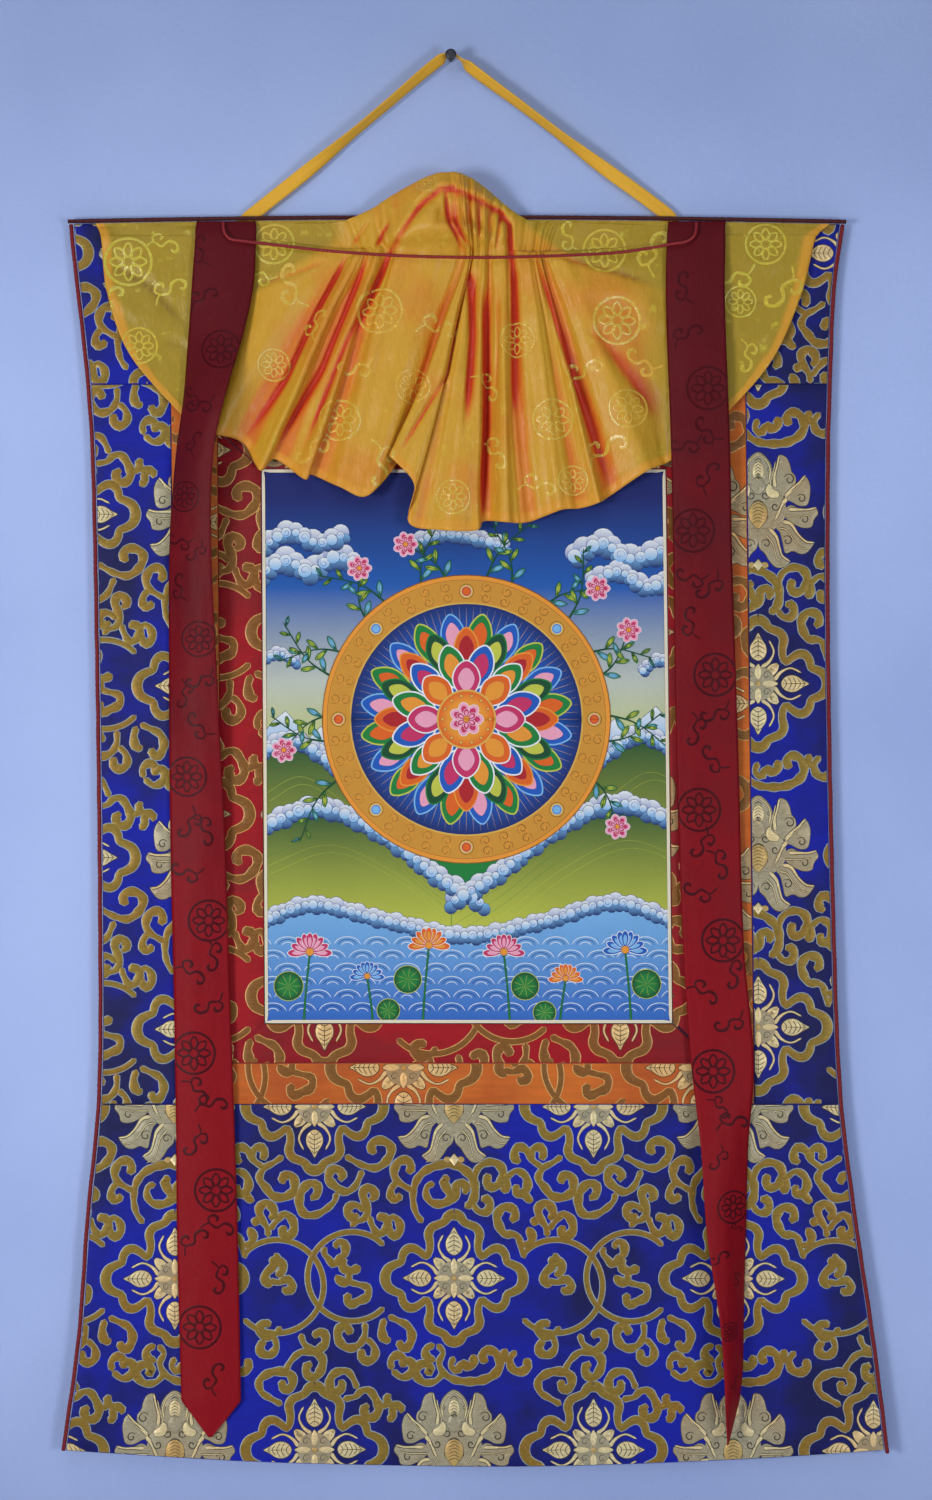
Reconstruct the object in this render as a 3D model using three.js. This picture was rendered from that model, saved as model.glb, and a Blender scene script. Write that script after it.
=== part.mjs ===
// Thangka scroll painting on a wall nail: a painted canvas in two brocade borders and a brocade mount, with a
// gathered silk veil, two silk ribbons, a tie cord and a hanging tape.
// Units are millimetres. The origin is where the nail's shank leaves the wall, the wall is the plane y = 0,
// +Z is up, the front faces -Y and +X is to the right of someone who looks at the front.
import * as THREE from 'three';

// Thickness of each cloth and the gap that a seam leaves between two pieces
const SEAM_GAP = 0.3;
const BROCADE_THICK = 2;
const BORDER_THICK = 1.8;
const CANVAS_THICK = 1.4;
const VEIL_THICK = 1;
const RIBBON_THICK = 1.5;
const TAPE_THICK = 1;
const PIPING_WIDE = 4;
const PIPING_GAP = 0.5;

// How far the middle of the mount's cloth stands off the wall
const MOUNT_OUT = 8;

// Top edge of the mount: its height below the nail at the middle, and how far the corners sag
const TOP_EDGE_Z = -147;
const TOP_CORNER_SAG = 4;
const TOP_HALF_WIDTH = 350;

// Bottom edge: its height at the middle and at the corners, and where its lowest point lies
const BOTTOM_EDGE_Z = -1278;
const BOTTOM_CORNER_RISE = 17;
const BOTTOM_LOW_X = 20;
const BOTTOM_HALF_WIDTH = 374;

// Seams across the mount
const UPPER_SEAM_Z = -296;
const LOWER_SEAM_Z = -949;

// The wall nail
const NAIL_RADIUS = 2;
const NAIL_LENGTH = 23;
const NAIL_HEAD_RADIUS = 5;
const NAIL_HEAD_THICK = 2;

/** Turns rows of numbers into records with the named columns. */
function table(columns, rows) {
  return rows.map((row) => Object.fromEntries(columns.map((name, place) => [name, row[place]])));
}

/** Smooth value between the rows of a table, read at a place along one of its columns. */
function readTable(rows, along, column, place) {
  const last = rows.length - 1;
  const falling = rows[last][along] < rows[0][along];
  let row = 0;
  while (row < last - 1 && (falling ? place < rows[row + 1][along] : place > rows[row + 1][along])) {
    row += 1;
  }
  const before = rows[Math.max(row - 1, 0)];
  const from = rows[row];
  const to = rows[row + 1];
  const after = rows[Math.min(row + 2, last)];
  const span = to[along] - from[along];
  const share = THREE.MathUtils.clamp((place - from[along]) / span, 0, 1);
  const slopeFrom = row === 0 ? (to[column] - from[column]) / span
    : (to[column] - before[column]) / (to[along] - before[along]);
  const slopeTo = row + 1 === last ? (to[column] - from[column]) / span
    : (after[column] - from[column]) / (after[along] - from[along]);
  const square = share * share;
  const cube = square * share;
  return from[column] * (2 * cube - 3 * square + 1) + to[column] * (3 * square - 2 * cube)
    + span * (slopeFrom * (cube - 2 * square + share) + slopeTo * (cube - square));
}

// Outer edges of the mount, piping included: the sides draw in to a waist and flare to the bottom corners
const OUTLINE = table(['z', 'left', 'right'], [
  [-147, -347, 358],
  [-180, -344, 353],
  [-214, -340, 349],
  [-287, -332, 346],
  [-360, -327, 344],
  [-541, -323, 344],
  [-796, -320, 349],
  [-942, -321, 355],
  [-1051, -331, 368],
  [-1160, -339, 384],
  [-1264, -353, 397],
]);

// Corners of the three nested frames: outer edge of the orange border, of the red border, of the painting
const ORANGE_FRAME = {
  topLeft: [-254, UPPER_SEAM_Z], topRight: [267, UPPER_SEAM_Z],
  bottomLeft: [-248, LOWER_SEAM_Z], bottomRight: [275, LOWER_SEAM_Z],
};
const RED_FRAME = {
  topLeft: [-212, -337], topRight: [234, -337],
  bottomLeft: [-208, -912], bottomRight: [239, -912],
};
const CANVAS_FRAME = {
  topLeft: [-172, -373], topRight: [195, -373],
  bottomLeft: [-169, -876], bottomRight: [201, -876],
};

// Soft waves of the hanging mount: pitch across, where a crest lies, height, and the share left at the top
const MOUNT_WAVES = table(['pitch', 'crest', 'height', 'atTop'], [
  [610, -330, 1.4, 0.1],
  [255, 60, 0.9, 0],
]);
const CORNER_CURL = 7;
const CORNER_CURL_REACH = 130;

/** Distance of the mount's mid-surface from the wall at a place on it. */
function mountOut(x, z) {
  const down = THREE.MathUtils.clamp((z - TOP_EDGE_Z) / (BOTTOM_EDGE_Z - TOP_EDGE_Z), 0, 1);
  const waves = MOUNT_WAVES.reduce((sum, wave) => {
    const share = wave.atTop + (1 - wave.atTop) * down;
    return sum + wave.height * share * Math.cos((2 * Math.PI * (x - wave.crest)) / wave.pitch);
  }, 0);
  const sideways = Math.min(x - readTable(OUTLINE, 'z', 'left', z), readTable(OUTLINE, 'z', 'right', z) - x);
  const nearSide = Math.max(0, 1 - sideways / CORNER_CURL_REACH);
  return MOUNT_OUT + waves + CORNER_CURL * nearSide * nearSide * down * down * down;
}

/** Height of the mount's top edge, under the piping. */
function topEdgeZ(x) {
  return TOP_EDGE_Z - TOP_CORNER_SAG * (x / TOP_HALF_WIDTH) ** 2;
}

/** Height of the mount's bottom edge, which bows down between its corners. */
function bottomEdgeZ(x) {
  return BOTTOM_EDGE_Z + BOTTOM_CORNER_RISE * ((x - BOTTOM_LOW_X) / BOTTOM_HALF_WIDTH) ** 2;
}

/**
 * A closed sheet: a thin box whose two faces are bent onto a surface. middle(across, down) gives a point of the
 * surface for shares from 0 to 1, and thick(across, down) its thickness.
 */
function sheetGeometry(columns, rows, middle, thick) {
  const geometry = new THREE.BoxGeometry(1, 1, 1, columns, 1, rows);
  const position = geometry.attributes.position;
  const step = 0.002;
  for (let index = 0; index < position.count; index += 1) {
    const across = position.getX(index) + 0.5;
    const down = 0.5 - position.getZ(index);
    const acrossFrom = Math.max(across - step, 0);
    const acrossTo = Math.min(across + step, 1);
    const downFrom = Math.max(down - step, 0);
    const downTo = Math.min(down + step, 1);
    const alongWidth = middle(acrossTo, down).sub(middle(acrossFrom, down));
    const upwards = middle(across, downFrom).sub(middle(across, downTo));
    const front = alongWidth.cross(upwards).normalize();
    const point = middle(across, down).addScaledVector(front, -position.getY(index) * thick(across, down));
    position.setXYZ(index, point.x, point.y, point.z);
  }
  geometry.deleteAttribute('uv');
  geometry.computeVertexNormals();
  return geometry;
}

/** Point of the mount's cloth at a place seen from the front. */
function onMount(x, z) {
  return new THREE.Vector3(x, -mountOut(x, z), z);
}

/** A flat panel of the mount between a left, right, top and bottom edge, each a function. */
function panelGeometry(columns, rows, edges, thick) {
  const middle = (across, down) => {
    let z = THREE.MathUtils.lerp(edges.top(0), edges.bottom(0), down);
    let x = 0;
    for (let pass = 0; pass < 4; pass += 1) {
      x = THREE.MathUtils.lerp(edges.left(z), edges.right(z), across);
      z = THREE.MathUtils.lerp(edges.top(x), edges.bottom(x), down);
    }
    return onMount(x, z);
  };
  return sheetGeometry(columns, rows, middle, () => thick);
}

/** The straight edge through two corners, read as x at a height. */
function slantedEdge(upper, lower, shift) {
  return (z) => upper[0] + ((lower[0] - upper[0]) * (z - upper[1])) / (lower[1] - upper[1]) + shift;
}

const sideLeft = (z) => readTable(OUTLINE, 'z', 'left', z) + PIPING_WIDE + PIPING_GAP;
const sideRight = (z) => readTable(OUTLINE, 'z', 'right', z) - PIPING_WIDE - PIPING_GAP;
const upperSeam = () => UPPER_SEAM_Z;
const lowerSeam = () => LOWER_SEAM_Z;
const underUpperSeam = () => UPPER_SEAM_Z - SEAM_GAP;
const overLowerSeam = () => LOWER_SEAM_Z + SEAM_GAP;

const group = new THREE.Group();

/** Adds one named piece with its own material. */
function addPiece(name, geometry, finish) {
  const mesh = new THREE.Mesh(geometry, new THREE.MeshStandardMaterial(finish));
  mesh.name = name;
  group.add(mesh);
}

const BLUE_BROCADE = { color: 0x141f86, roughness: 0.55, metalness: 0.1 };
const ORANGE_BROCADE = { color: 0xc8731f, roughness: 0.5, metalness: 0.1 };
const RED_BROCADE = { color: 0xa8121c, roughness: 0.5, metalness: 0.1 };
const PAINTED_CANVAS = { color: 0x2f5f9a, roughness: 0.85, metalness: 0 };
const VEIL_SILK = { color: 0xd9a520, roughness: 0.35, metalness: 0 };
const RIBBON_SILK = { color: 0x8b0f1a, roughness: 0.4, metalness: 0 };
const PIPING_CLOTH = { color: 0x8a1f22, roughness: 0.7, metalness: 0 };
const CORD_THREAD = { color: 0x9a2026, roughness: 0.6, metalness: 0 };
const TAPE_CLOTH = { color: 0xd49a1e, roughness: 0.6, metalness: 0 };
const NAIL_STEEL = { color: 0x3a3c40, roughness: 0.4, metalness: 0.9 };

// The four panels of blue brocade
addPiece('brocade_top', panelGeometry(20, 5, {
  left: sideLeft, right: sideRight, top: topEdgeZ, bottom: upperSeam,
}, BROCADE_THICK), BLUE_BROCADE);
addPiece('brocade_left', panelGeometry(2, 18, {
  left: sideLeft, right: slantedEdge(ORANGE_FRAME.topLeft, ORANGE_FRAME.bottomLeft, -SEAM_GAP),
  top: underUpperSeam, bottom: overLowerSeam,
}, BROCADE_THICK), BLUE_BROCADE);
addPiece('brocade_right', panelGeometry(2, 18, {
  left: slantedEdge(ORANGE_FRAME.topRight, ORANGE_FRAME.bottomRight, SEAM_GAP), right: sideRight,
  top: underUpperSeam, bottom: overLowerSeam,
}, BROCADE_THICK), BLUE_BROCADE);
addPiece('brocade_bottom', panelGeometry(22, 9, {
  left: sideLeft, right: sideRight, top: lowerSeam, bottom: bottomEdgeZ,
}, BROCADE_THICK), BLUE_BROCADE);

/** One mitred strip of a border, between an outer and an inner edge given by their end points. */
function stripGeometry(outerFrom, outerTo, innerFrom, innerTo) {
  const outer = [new THREE.Vector2(...outerFrom), new THREE.Vector2(...outerTo)];
  const inner = [new THREE.Vector2(...innerFrom), new THREE.Vector2(...innerTo)];
  const along = outer[1].clone().sub(outer[0]).normalize();
  const lengthwise = Math.abs(along.x) > Math.abs(along.y);
  const middle = (across, down) => {
    const onLength = lengthwise ? across : down;
    const onWidth = lengthwise ? down : across;
    const outerPoint = outer[0].clone().lerp(outer[1], onLength);
    const innerPoint = inner[0].clone().lerp(inner[1], onLength);
    const point = outerPoint.lerp(innerPoint, onWidth);
    return onMount(point.x, point.y);
  };
  return lengthwise ? sheetGeometry(14, 1, middle, () => BORDER_THICK)
    : sheetGeometry(1, 18, middle, () => BORDER_THICK);
}

/** Moves a corner point by a gap inwards or outwards of its frame. */
function inset([x, z], right, down, gap) {
  return [x + right * gap, z - down * gap];
}

/** The four mitred strips of a border between an outer and an inner frame. */
function addBorder(name, outer, inner, finish) {
  const half = SEAM_GAP / 2;
  const mitre = SEAM_GAP;
  const edge = {
    topLeft: inset(outer.topLeft, 1, 1, half), topRight: inset(outer.topRight, -1, 1, half),
    bottomLeft: inset(outer.bottomLeft, 1, -1, half), bottomRight: inset(outer.bottomRight, -1, -1, half),
  };
  const hole = {
    topLeft: inset(inner.topLeft, -1, -1, half), topRight: inset(inner.topRight, 1, -1, half),
    bottomLeft: inset(inner.bottomLeft, -1, 1, half), bottomRight: inset(inner.bottomRight, 1, 1, half),
  };
  addPiece(`${name}_top`, stripGeometry(inset(edge.topLeft, 1, 0, mitre), inset(edge.topRight, -1, 0, mitre),
    inset(hole.topLeft, 1, 0, mitre), inset(hole.topRight, -1, 0, mitre)), finish);
  addPiece(`${name}_bottom`, stripGeometry(inset(hole.bottomLeft, 1, 0, mitre),
    inset(hole.bottomRight, -1, 0, mitre), inset(edge.bottomLeft, 1, 0, mitre),
    inset(edge.bottomRight, -1, 0, mitre)), finish);
  addPiece(`${name}_left`, stripGeometry(edge.topLeft, edge.bottomLeft, hole.topLeft, hole.bottomLeft), finish);
  addPiece(`${name}_right`, stripGeometry(hole.topRight, hole.bottomRight, edge.topRight, edge.bottomRight),
    finish);
}

addBorder('orange_border', ORANGE_FRAME, RED_FRAME, ORANGE_BROCADE);
addBorder('red_border', RED_FRAME, CANVAS_FRAME, RED_BROCADE);

// The painted canvas
addPiece('painting', panelGeometry(10, 14, {
  left: slantedEdge(CANVAS_FRAME.topLeft, CANVAS_FRAME.bottomLeft, SEAM_GAP / 2),
  right: slantedEdge(CANVAS_FRAME.topRight, CANVAS_FRAME.bottomRight, -SEAM_GAP / 2),
  top: () => CANVAS_FRAME.topLeft[1] - SEAM_GAP / 2, bottom: () => CANVAS_FRAME.bottomLeft[1] + SEAM_GAP / 2,
}, CANVAS_THICK), PAINTED_CANVAS);

/** A round section with a number of sides. */
function roundShape(radius, sides) {
  const points = [];
  for (let side = 0; side < sides; side += 1) {
    const turn = (2 * Math.PI * side) / sides;
    points.push(new THREE.Vector2(radius * Math.cos(turn), radius * Math.sin(turn)));
  }
  return new THREE.Shape(points);
}

/** A tube along a curve through points. */
function tubeGeometry(points, radius, sides, steps) {
  const path = new THREE.CatmullRomCurve3(points, false, 'centripetal');
  const geometry = new THREE.ExtrudeGeometry(roundShape(radius, sides), {
    steps, extrudePath: path, bevelEnabled: false,
  });
  geometry.deleteAttribute('uv');
  return geometry;
}

/** Piping down one side, on the outer edge of the mount. */
function sidePiping(column, inwards) {
  const points = [];
  const steps = 20;
  for (let step = 0; step <= steps; step += 1) {
    const edgeX = readTable(OUTLINE, 'z', column, TOP_EDGE_Z);
    const top = topEdgeZ(edgeX) - SEAM_GAP;
    const z = THREE.MathUtils.lerp(top, bottomEdgeZ(edgeX), step / steps);
    const x = readTable(OUTLINE, 'z', column, z) + (inwards * PIPING_WIDE) / 2;
    points.push(onMount(x, z));
  }
  return tubeGeometry(points, PIPING_WIDE / 2, 6, 36);
}
addPiece('piping_left', sidePiping('left', 1), PIPING_CLOTH);
addPiece('piping_right', sidePiping('right', -1), PIPING_CLOTH);

// Top piping: a flattened roll that takes in the mount, the veil and the ribbons
const TOP_PIPING_HIGH = 3.6;
const TOP_PIPING_BACK = 6.9;
const TOP_PIPING_FRONT = 13.6;
const topPipingLeft = readTable(OUTLINE, 'z', 'left', TOP_EDGE_Z);
const topPipingRight = readTable(OUTLINE, 'z', 'right', TOP_EDGE_Z);
const topPiping = new THREE.CylinderGeometry(0.5, 0.5, 1, 10, 24);
{
  const position = topPiping.attributes.position;
  for (let index = 0; index < position.count; index += 1) {
    const x = THREE.MathUtils.lerp(topPipingLeft, topPipingRight, position.getY(index) + 0.5);
    const out = (TOP_PIPING_BACK + TOP_PIPING_FRONT) / 2
      + position.getX(index) * (TOP_PIPING_FRONT - TOP_PIPING_BACK);
    const z = topEdgeZ(x) + SEAM_GAP + TOP_PIPING_HIGH / 2 + position.getZ(index) * TOP_PIPING_HIGH;
    position.setXYZ(index, x, -out, z);
  }
  topPiping.deleteAttribute('uv');
  topPiping.computeVertexNormals();
}
addPiece('piping_top', topPiping, PIPING_CLOTH);

// Folds of the veil from its left selvedge to its right one, each crossing it from top to hem. x is across and
// z is up, out is the distance from the wall. top: where the fold leaves the top edge, tie: where it passes
// under the tie cord, hemX and hemZ: where it ends, out: how far it stands off at the hem, bow: how far its
// middle bows.
const VEIL_FOLDS = table(['top', 'tie', 'hemX', 'hemZ', 'out', 'bow'], [
  [-322, -316, -232, -337, 15, -25],
  [-260, -251, -225, -339, 13, -13],
  [-206, -183, -218, -342, 13, -5],
  [-160, -121, -211, -344, 26, -9],
  [-139, -95, -188, -350, 13, 0],
  [-121, -86, -172, -376, 26, 0],
  [-105, -76, -159, -365, 13, 0],
  [-86, -66, -132, -384, 26, 0],
  [-70, -56, -126, -379, 13, 0],
  [-52, -46, -100, -391, 24, 0],
  [-28, -10, -75, -399, 26, 0],
  [-10, 10, -48, -367, 14, 0],
  [-1, 14, -55, -364, 30, 5],
  [6, 17, -33, -389, 31, 4],
  [15, 20, -38, -423, 24, 0],
  [24, 25, -9, -430, 28, 0],
  [34, 30, 23, -430, 26, 0],
  [43, 35, 30, -421, 14, 2],
  [54, 45, 51, -423, 27, 0],
  [66, 56, 70, -422, 18, -4],
  [79, 68, 99, -412, 28, 0],
  [91, 76, 116, -410, 20, 0],
  [101, 80, 134, -405, 26, 0],
  [110, 84, 144, -398, 13, 0],
  [134, 97, 176, -377, 26, 0],
  [172, 136, 194, -369, 15, 7],
  [222, 181, 201, -365, 18, 15],
  [281, 245, 209, -360, 13, 13],
  [343, 329, 217, -355, 15, 25],
]);

// The puff above the tie: its place, reach to each side, rise above the top edge, and how far it stands out
const PUFF_X = 0;
const PUFF_LEFT = 115;
const PUFF_RIGHT = 85;
const PUFF_RISE = 39;
const PUFF_OUT = 46;
const PUFF_CREST_OUT = 31;
const VEIL_TOP_OUT = 10.2;
const VEIL_SIDE_OUT = 14;
const VEIL_TIE_OUT = 23;

// The tie cord: its radius, its height at the ends and the middle, and where its middle lies
const TIE_RADIUS = 1.5;
const TIE_END_Z = -168;
const TIE_SAG = 17;
const TIE_MIDDLE_X = 22;
const TIE_HALF_SPAN = 218;

/** Height of the tie cord where it crosses the veil. */
function tieZ(x) {
  const share = THREE.MathUtils.clamp((x - TIE_MIDDLE_X) / TIE_HALF_SPAN, -1, 1);
  return TIE_END_Z - TIE_SAG * (1 - share * share);
}

/** Share of the puff at a place across: 1 at its peak, 0 outside it. */
function puffShare(x) {
  const reach = x < PUFF_X ? PUFF_LEFT : PUFF_RIGHT;
  const away = Math.min(Math.abs(x - PUFF_X) / reach, 1);
  return Math.cos((Math.PI / 2) * away) ** 2;
}

// How a fold leaves the top edge: height of its lip under the edge, and how far the lip stands off the wall,
// beside the puff and within it; then how far under the edge the veil is once it hangs clear of the edge
const VEIL_LIP_DROP = 6;
const VEIL_LIP_OUT = 11;
const PUFF_LIP_DROP = 5;
const PUFF_LIP_OUT = 17.5;
const VEIL_CLEAR_DROP = 13;

// The face of the veil above the tie: its height over the tie, beside the puff and within it
const VEIL_FACE_RISE = 8;
const PUFF_FACE_RISE = 30;

// How a deep or a proud fold shows in the puff's face and at the tie. A fold this far out is neither.
const FOLD_EVEN_OUT = 20;
const PLEAT_IN_FACE = 8;
const PLEAT_AT_TIE = 5;

// Across the tie the veil is gathered up to the first distance from its middle, and flat past the second
const GATHER_X = 10;
const GATHERED_TO = 90;
const FLAT_FROM = 165;

// Two levels below the tie: share of the way across, of the bow, of the way out, extra swell of the gathered
// part, and share of the way down
const VEIL_LEVELS = table(['across', 'bow', 'out', 'swell', 'down'], [
  [0.3, 0.8, 0.6, 2, 0.28],
  [0.62, 1, 0.9, 1.5, 0.62],
]);
const VEIL_COLUMNS_PER_FOLD = 2;
const VEIL_ROWS = 21;

/** The path of one fold from the top edge to the hem, as points across, out from the wall and up. */
function foldPath(fold) {
  const { lerp } = THREE.MathUtils;
  const topZ = topEdgeZ(fold.top) - SEAM_GAP;
  const crestX = lerp(fold.top, fold.tie, 0.5);
  const puff = puffShare(crestX);
  const puffAtTop = puffShare(fold.top);
  const pleat = (fold.out - FOLD_EVEN_OUT) / FOLD_EVEN_OUT;
  const top = [fold.top, VEIL_TOP_OUT, topZ];
  const lip = [lerp(fold.top, fold.tie, 0.2), lerp(VEIL_LIP_OUT, PUFF_LIP_OUT, puffAtTop),
    topZ - lerp(VEIL_LIP_DROP, PUFF_LIP_DROP, puffAtTop)];
  const crest = [crestX, lerp(VEIL_SIDE_OUT - 1.5, PUFF_CREST_OUT, puff),
    lerp(topZ - VEIL_CLEAR_DROP, topZ + PUFF_RISE, puff)];
  const faceX = lerp(fold.top, fold.tie, 0.8);
  const face = [faceX, lerp(VEIL_SIDE_OUT + 1, PUFF_OUT + PLEAT_IN_FACE * pleat, puff),
    tieZ(faceX) + lerp(VEIL_FACE_RISE, PUFF_FACE_RISE, puff)];
  const gathered = 1 - THREE.MathUtils.smoothstep(Math.abs(fold.tie - GATHER_X), GATHERED_TO, FLAT_FROM);
  const tieOut = lerp(VEIL_SIDE_OUT + 1, VEIL_TIE_OUT + PLEAT_AT_TIE * pleat, gathered);
  const tie = [fold.tie, tieOut, tieZ(fold.tie)];
  const below = VEIL_LEVELS.map((level) => [
    lerp(fold.tie, fold.hemX, level.across) + fold.bow * level.bow,
    lerp(tieOut, fold.out, level.out) + level.swell * gathered,
    lerp(tieZ(fold.tie), fold.hemZ, level.down),
  ]);
  return [top, lip, crest, face, tie, ...below, [fold.hemX, fold.out, fold.hemZ]];
}

const veilPaths = VEIL_FOLDS.map((fold) => foldPath(fold));

/** Smooth blend of four values, from the second to the third. */
function smoothBlend(values, share) {
  const [before, from, to, after] = values;
  const slopeFrom = (to - before) / 2;
  const slopeTo = (after - from) / 2;
  const square = share * share;
  const cube = square * share;
  return from * (2 * cube - 3 * square + 1) + slopeFrom * (cube - 2 * square + share)
    + to * (3 * square - 2 * cube) + slopeTo * (cube - square);
}

/** Four neighbouring entries round a share of a list, and the share within the middle pair. */
function neighbours(list, share) {
  const place = share * (list.length - 1);
  const from = Math.min(Math.floor(place), list.length - 2);
  const pick = (index) => list[THREE.MathUtils.clamp(index, 0, list.length - 1)];
  return { four: [pick(from - 1), pick(from), pick(from + 1), pick(from + 2)], within: place - from };
}

/** A point of the veil: across from selvedge to selvedge, down from the top edge to the hem. */
function onVeil(across, down) {
  const folds = neighbours(veilPaths, across);
  const levels = folds.four.map((path) => {
    const { four, within } = neighbours(path, down);
    return [0, 1, 2].map((axis) => smoothBlend(four.map((point) => point[axis]), within));
  });
  const [x, out, z] = [0, 1, 2].map((axis) => smoothBlend(levels.map((point) => point[axis]), folds.within));
  return new THREE.Vector3(x, -out, z);
}

addPiece('veil', sheetGeometry((VEIL_FOLDS.length - 1) * VEIL_COLUMNS_PER_FOLD, VEIL_ROWS, onVeil,
  () => VEIL_THICK), VEIL_SILK);

// Ribbons from the top edge to their points. left and right are their edges seen from the front, out is how far
// their middle stands off the wall, lift is how much further the right edge stands out than the left one.
const LEFT_RIBBON = table(['z', 'left', 'right', 'out', 'lift'], [
  [-149.2, -230, -177, 12.2, 0],
  [-156, -231, -176, 15.5, 0],
  [-166, -231, -176, 18.5, 0],
  [-209, -234, -178, 20, 3],
  [-255, -237, -187, 25, 12],
  [-309, -241, -201, 34, 27],
  [-360, -248, -212, 32, 27],
  [-437, -254, -215, 27, 22],
  [-571, -255, -210, 20, 14],
  [-706, -254, -204, 16, 7],
  [-841, -251, -200, 14, 4],
  [-962, -249, -196, 13.5, 3],
  [-1063, -248, -193, 13, 2],
  [-1217, -244, -190, 13, 2],
]);
const LEFT_RIBBON_TIP = { x: -218, z: -1252 };
const RIGHT_RIBBON = table(['z', 'left', 'right', 'out', 'lift'], [
  [-149.2, 197, 249, 12.2, 0],
  [-156, 196, 248, 15.5, 0],
  [-166, 195, 248, 18.5, 0],
  [-209, 194, 247, 21, 2],
  [-255, 195, 248, 22, 3],
  [-306, 197, 250, 22, 3],
  [-365, 199, 252, 22, 2],
  [-454, 201, 254, 18, 2],
  [-634, 204, 260, 15, 1],
  [-806, 210, 265, 15, 1],
  [-910, 217, 274, 16, -2],
  [-986, 225, 269, 21, -16],
  [-1063, 230, 267, 24, -24],
  [-1139, 241, 265, 27, -30],
  [-1191, 245, 264, 27, -30],
  [-1217, 246, 261, 27, -29],
]);
const RIGHT_RIBBON_TIP = { x: 249, z: -1256 };
const RIBBON_CURL = 3;
const RIBBON_CURL_OF_LIFT = 0.1;
const RIBBON_CURL_START = 60;
const RIBBON_COLUMNS = 3;
const RIBBON_ROWS = 38;
const RIBBON_SHOULDER = 35 / RIBBON_ROWS;
const RIBBON_ROW_SPREAD = 1.3;
const RIBBON_POINT = 0.94;

/** A ribbon that follows its table and ends in a point. */
function ribbonGeometry(rows, tip) {
  const top = rows[0].z;
  const shoulder = rows[rows.length - 1].z;
  const middle = (across, down) => {
    const z = THREE.MathUtils.lerp(top, shoulder, Math.min(down / RIBBON_SHOULDER, 1) ** RIBBON_ROW_SPREAD);
    const left = readTable(rows, 'z', 'left', z);
    const right = readTable(rows, 'z', 'right', z);
    const turned = readTable(rows, 'z', 'lift', z);
    const curl = (RIBBON_CURL + Math.abs(turned) * RIBBON_CURL_OF_LIFT) * (1 - (2 * across - 1) ** 2);
    const started = THREE.MathUtils.smoothstep(top - z, 0, RIBBON_CURL_START);
    const out = readTable(rows, 'z', 'out', z) + turned * (across - 0.5) + curl * started;
    const point = new THREE.Vector3(THREE.MathUtils.lerp(left, right, across), -out, z);
    const pointed = Math.max(0, (down - RIBBON_SHOULDER) / (1 - RIBBON_SHOULDER));
    const end = new THREE.Vector3(tip.x, -readTable(rows, 'z', 'out', z), tip.z);
    return point.lerp(end, pointed * RIBBON_POINT);
  };
  return sheetGeometry(RIBBON_COLUMNS, RIBBON_ROWS, middle, () => RIBBON_THICK);
}
addPiece('ribbon_left', ribbonGeometry(LEFT_RIBBON, LEFT_RIBBON_TIP), RIBBON_SILK);
addPiece('ribbon_right', ribbonGeometry(RIGHT_RIBBON, RIGHT_RIBBON_TIP), RIBBON_SILK);

// Route of the tie cord: across, out from the wall, up
const TIE_ROUTE = [
  [-206, 15.9, -150.8],
  [-205.5, 19.2, -155.6],
  [-204, 22, -161.6],
  [-199, 23.6, -167],
  [-190, 23.8, -168.6],
  [-172, 22, -170.6],
  [-150, 21.4, -173.1],
  [-124, 23.2, -176.4],
  [-100, 27, -179.3],
  [-50, 29.2, -183],
  [22, 30.5, -185],
  [70, 29.8, -184.1],
  [100, 27.8, -182.8],
  [125, 25, -181.2],
  [150, 21.8, -179.1],
  [180, 21.6, -174.8],
  [200, 24.2, -171.6],
  [212, 24.4, -169.6],
  [219, 23.4, -165],
  [221.5, 20.6, -158],
  [222, 16.1, -151],
];
const TIE_SIDES = 8;
const TIE_STEPS = 56;
const tiePoints = TIE_ROUTE.map(([x, out, z]) => new THREE.Vector3(x, -out, z));
addPiece('tie_cord', tubeGeometry(tiePoints, TIE_RADIUS, TIE_SIDES, TIE_STEPS), CORD_THREAD);

// The hanging tape: flat behind the top edge, half turned on its way up, and flat over the nail's shank
const TAPE_WIDE = 12;
const TAPE_ROWS = 56;
const TAPE_ROW_SPREAD = 1.5;
const TAPE_LEG_TURN = THREE.MathUtils.degToRad(52);
const TAPE_MIDDLE_TURN = THREE.MathUtils.degToRad(12);
const TAPE_NAIL_TURN = THREE.MathUtils.degToRad(38);
const TAPE_ROUTE = [
  [-196, 5.8, -171],
  [-192, 5.8, -158],
  [-186, 5.8, -147],
  [-174, 6.6, -137],
  [-124, 10, -98],
  [-61, 11.6, -46],
  [-20, 12, -11],
  [-3.8, 12, 1.4],
  [0, 12, 3.1],
  [3.8, 12, 1.4],
  [20, 12, -12],
  [62, 11.6, -43],
  [130, 10, -94],
  [186, 6.6, -134],
  [199, 5.8, -145],
  [204, 5.8, -157],
  [206, 5.8, -170],
];
const tapePath = new THREE.CatmullRomCurve3(
  TAPE_ROUTE.map(([x, out, z]) => new THREE.Vector3(x, -out, z)), false, 'centripetal');

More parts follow.
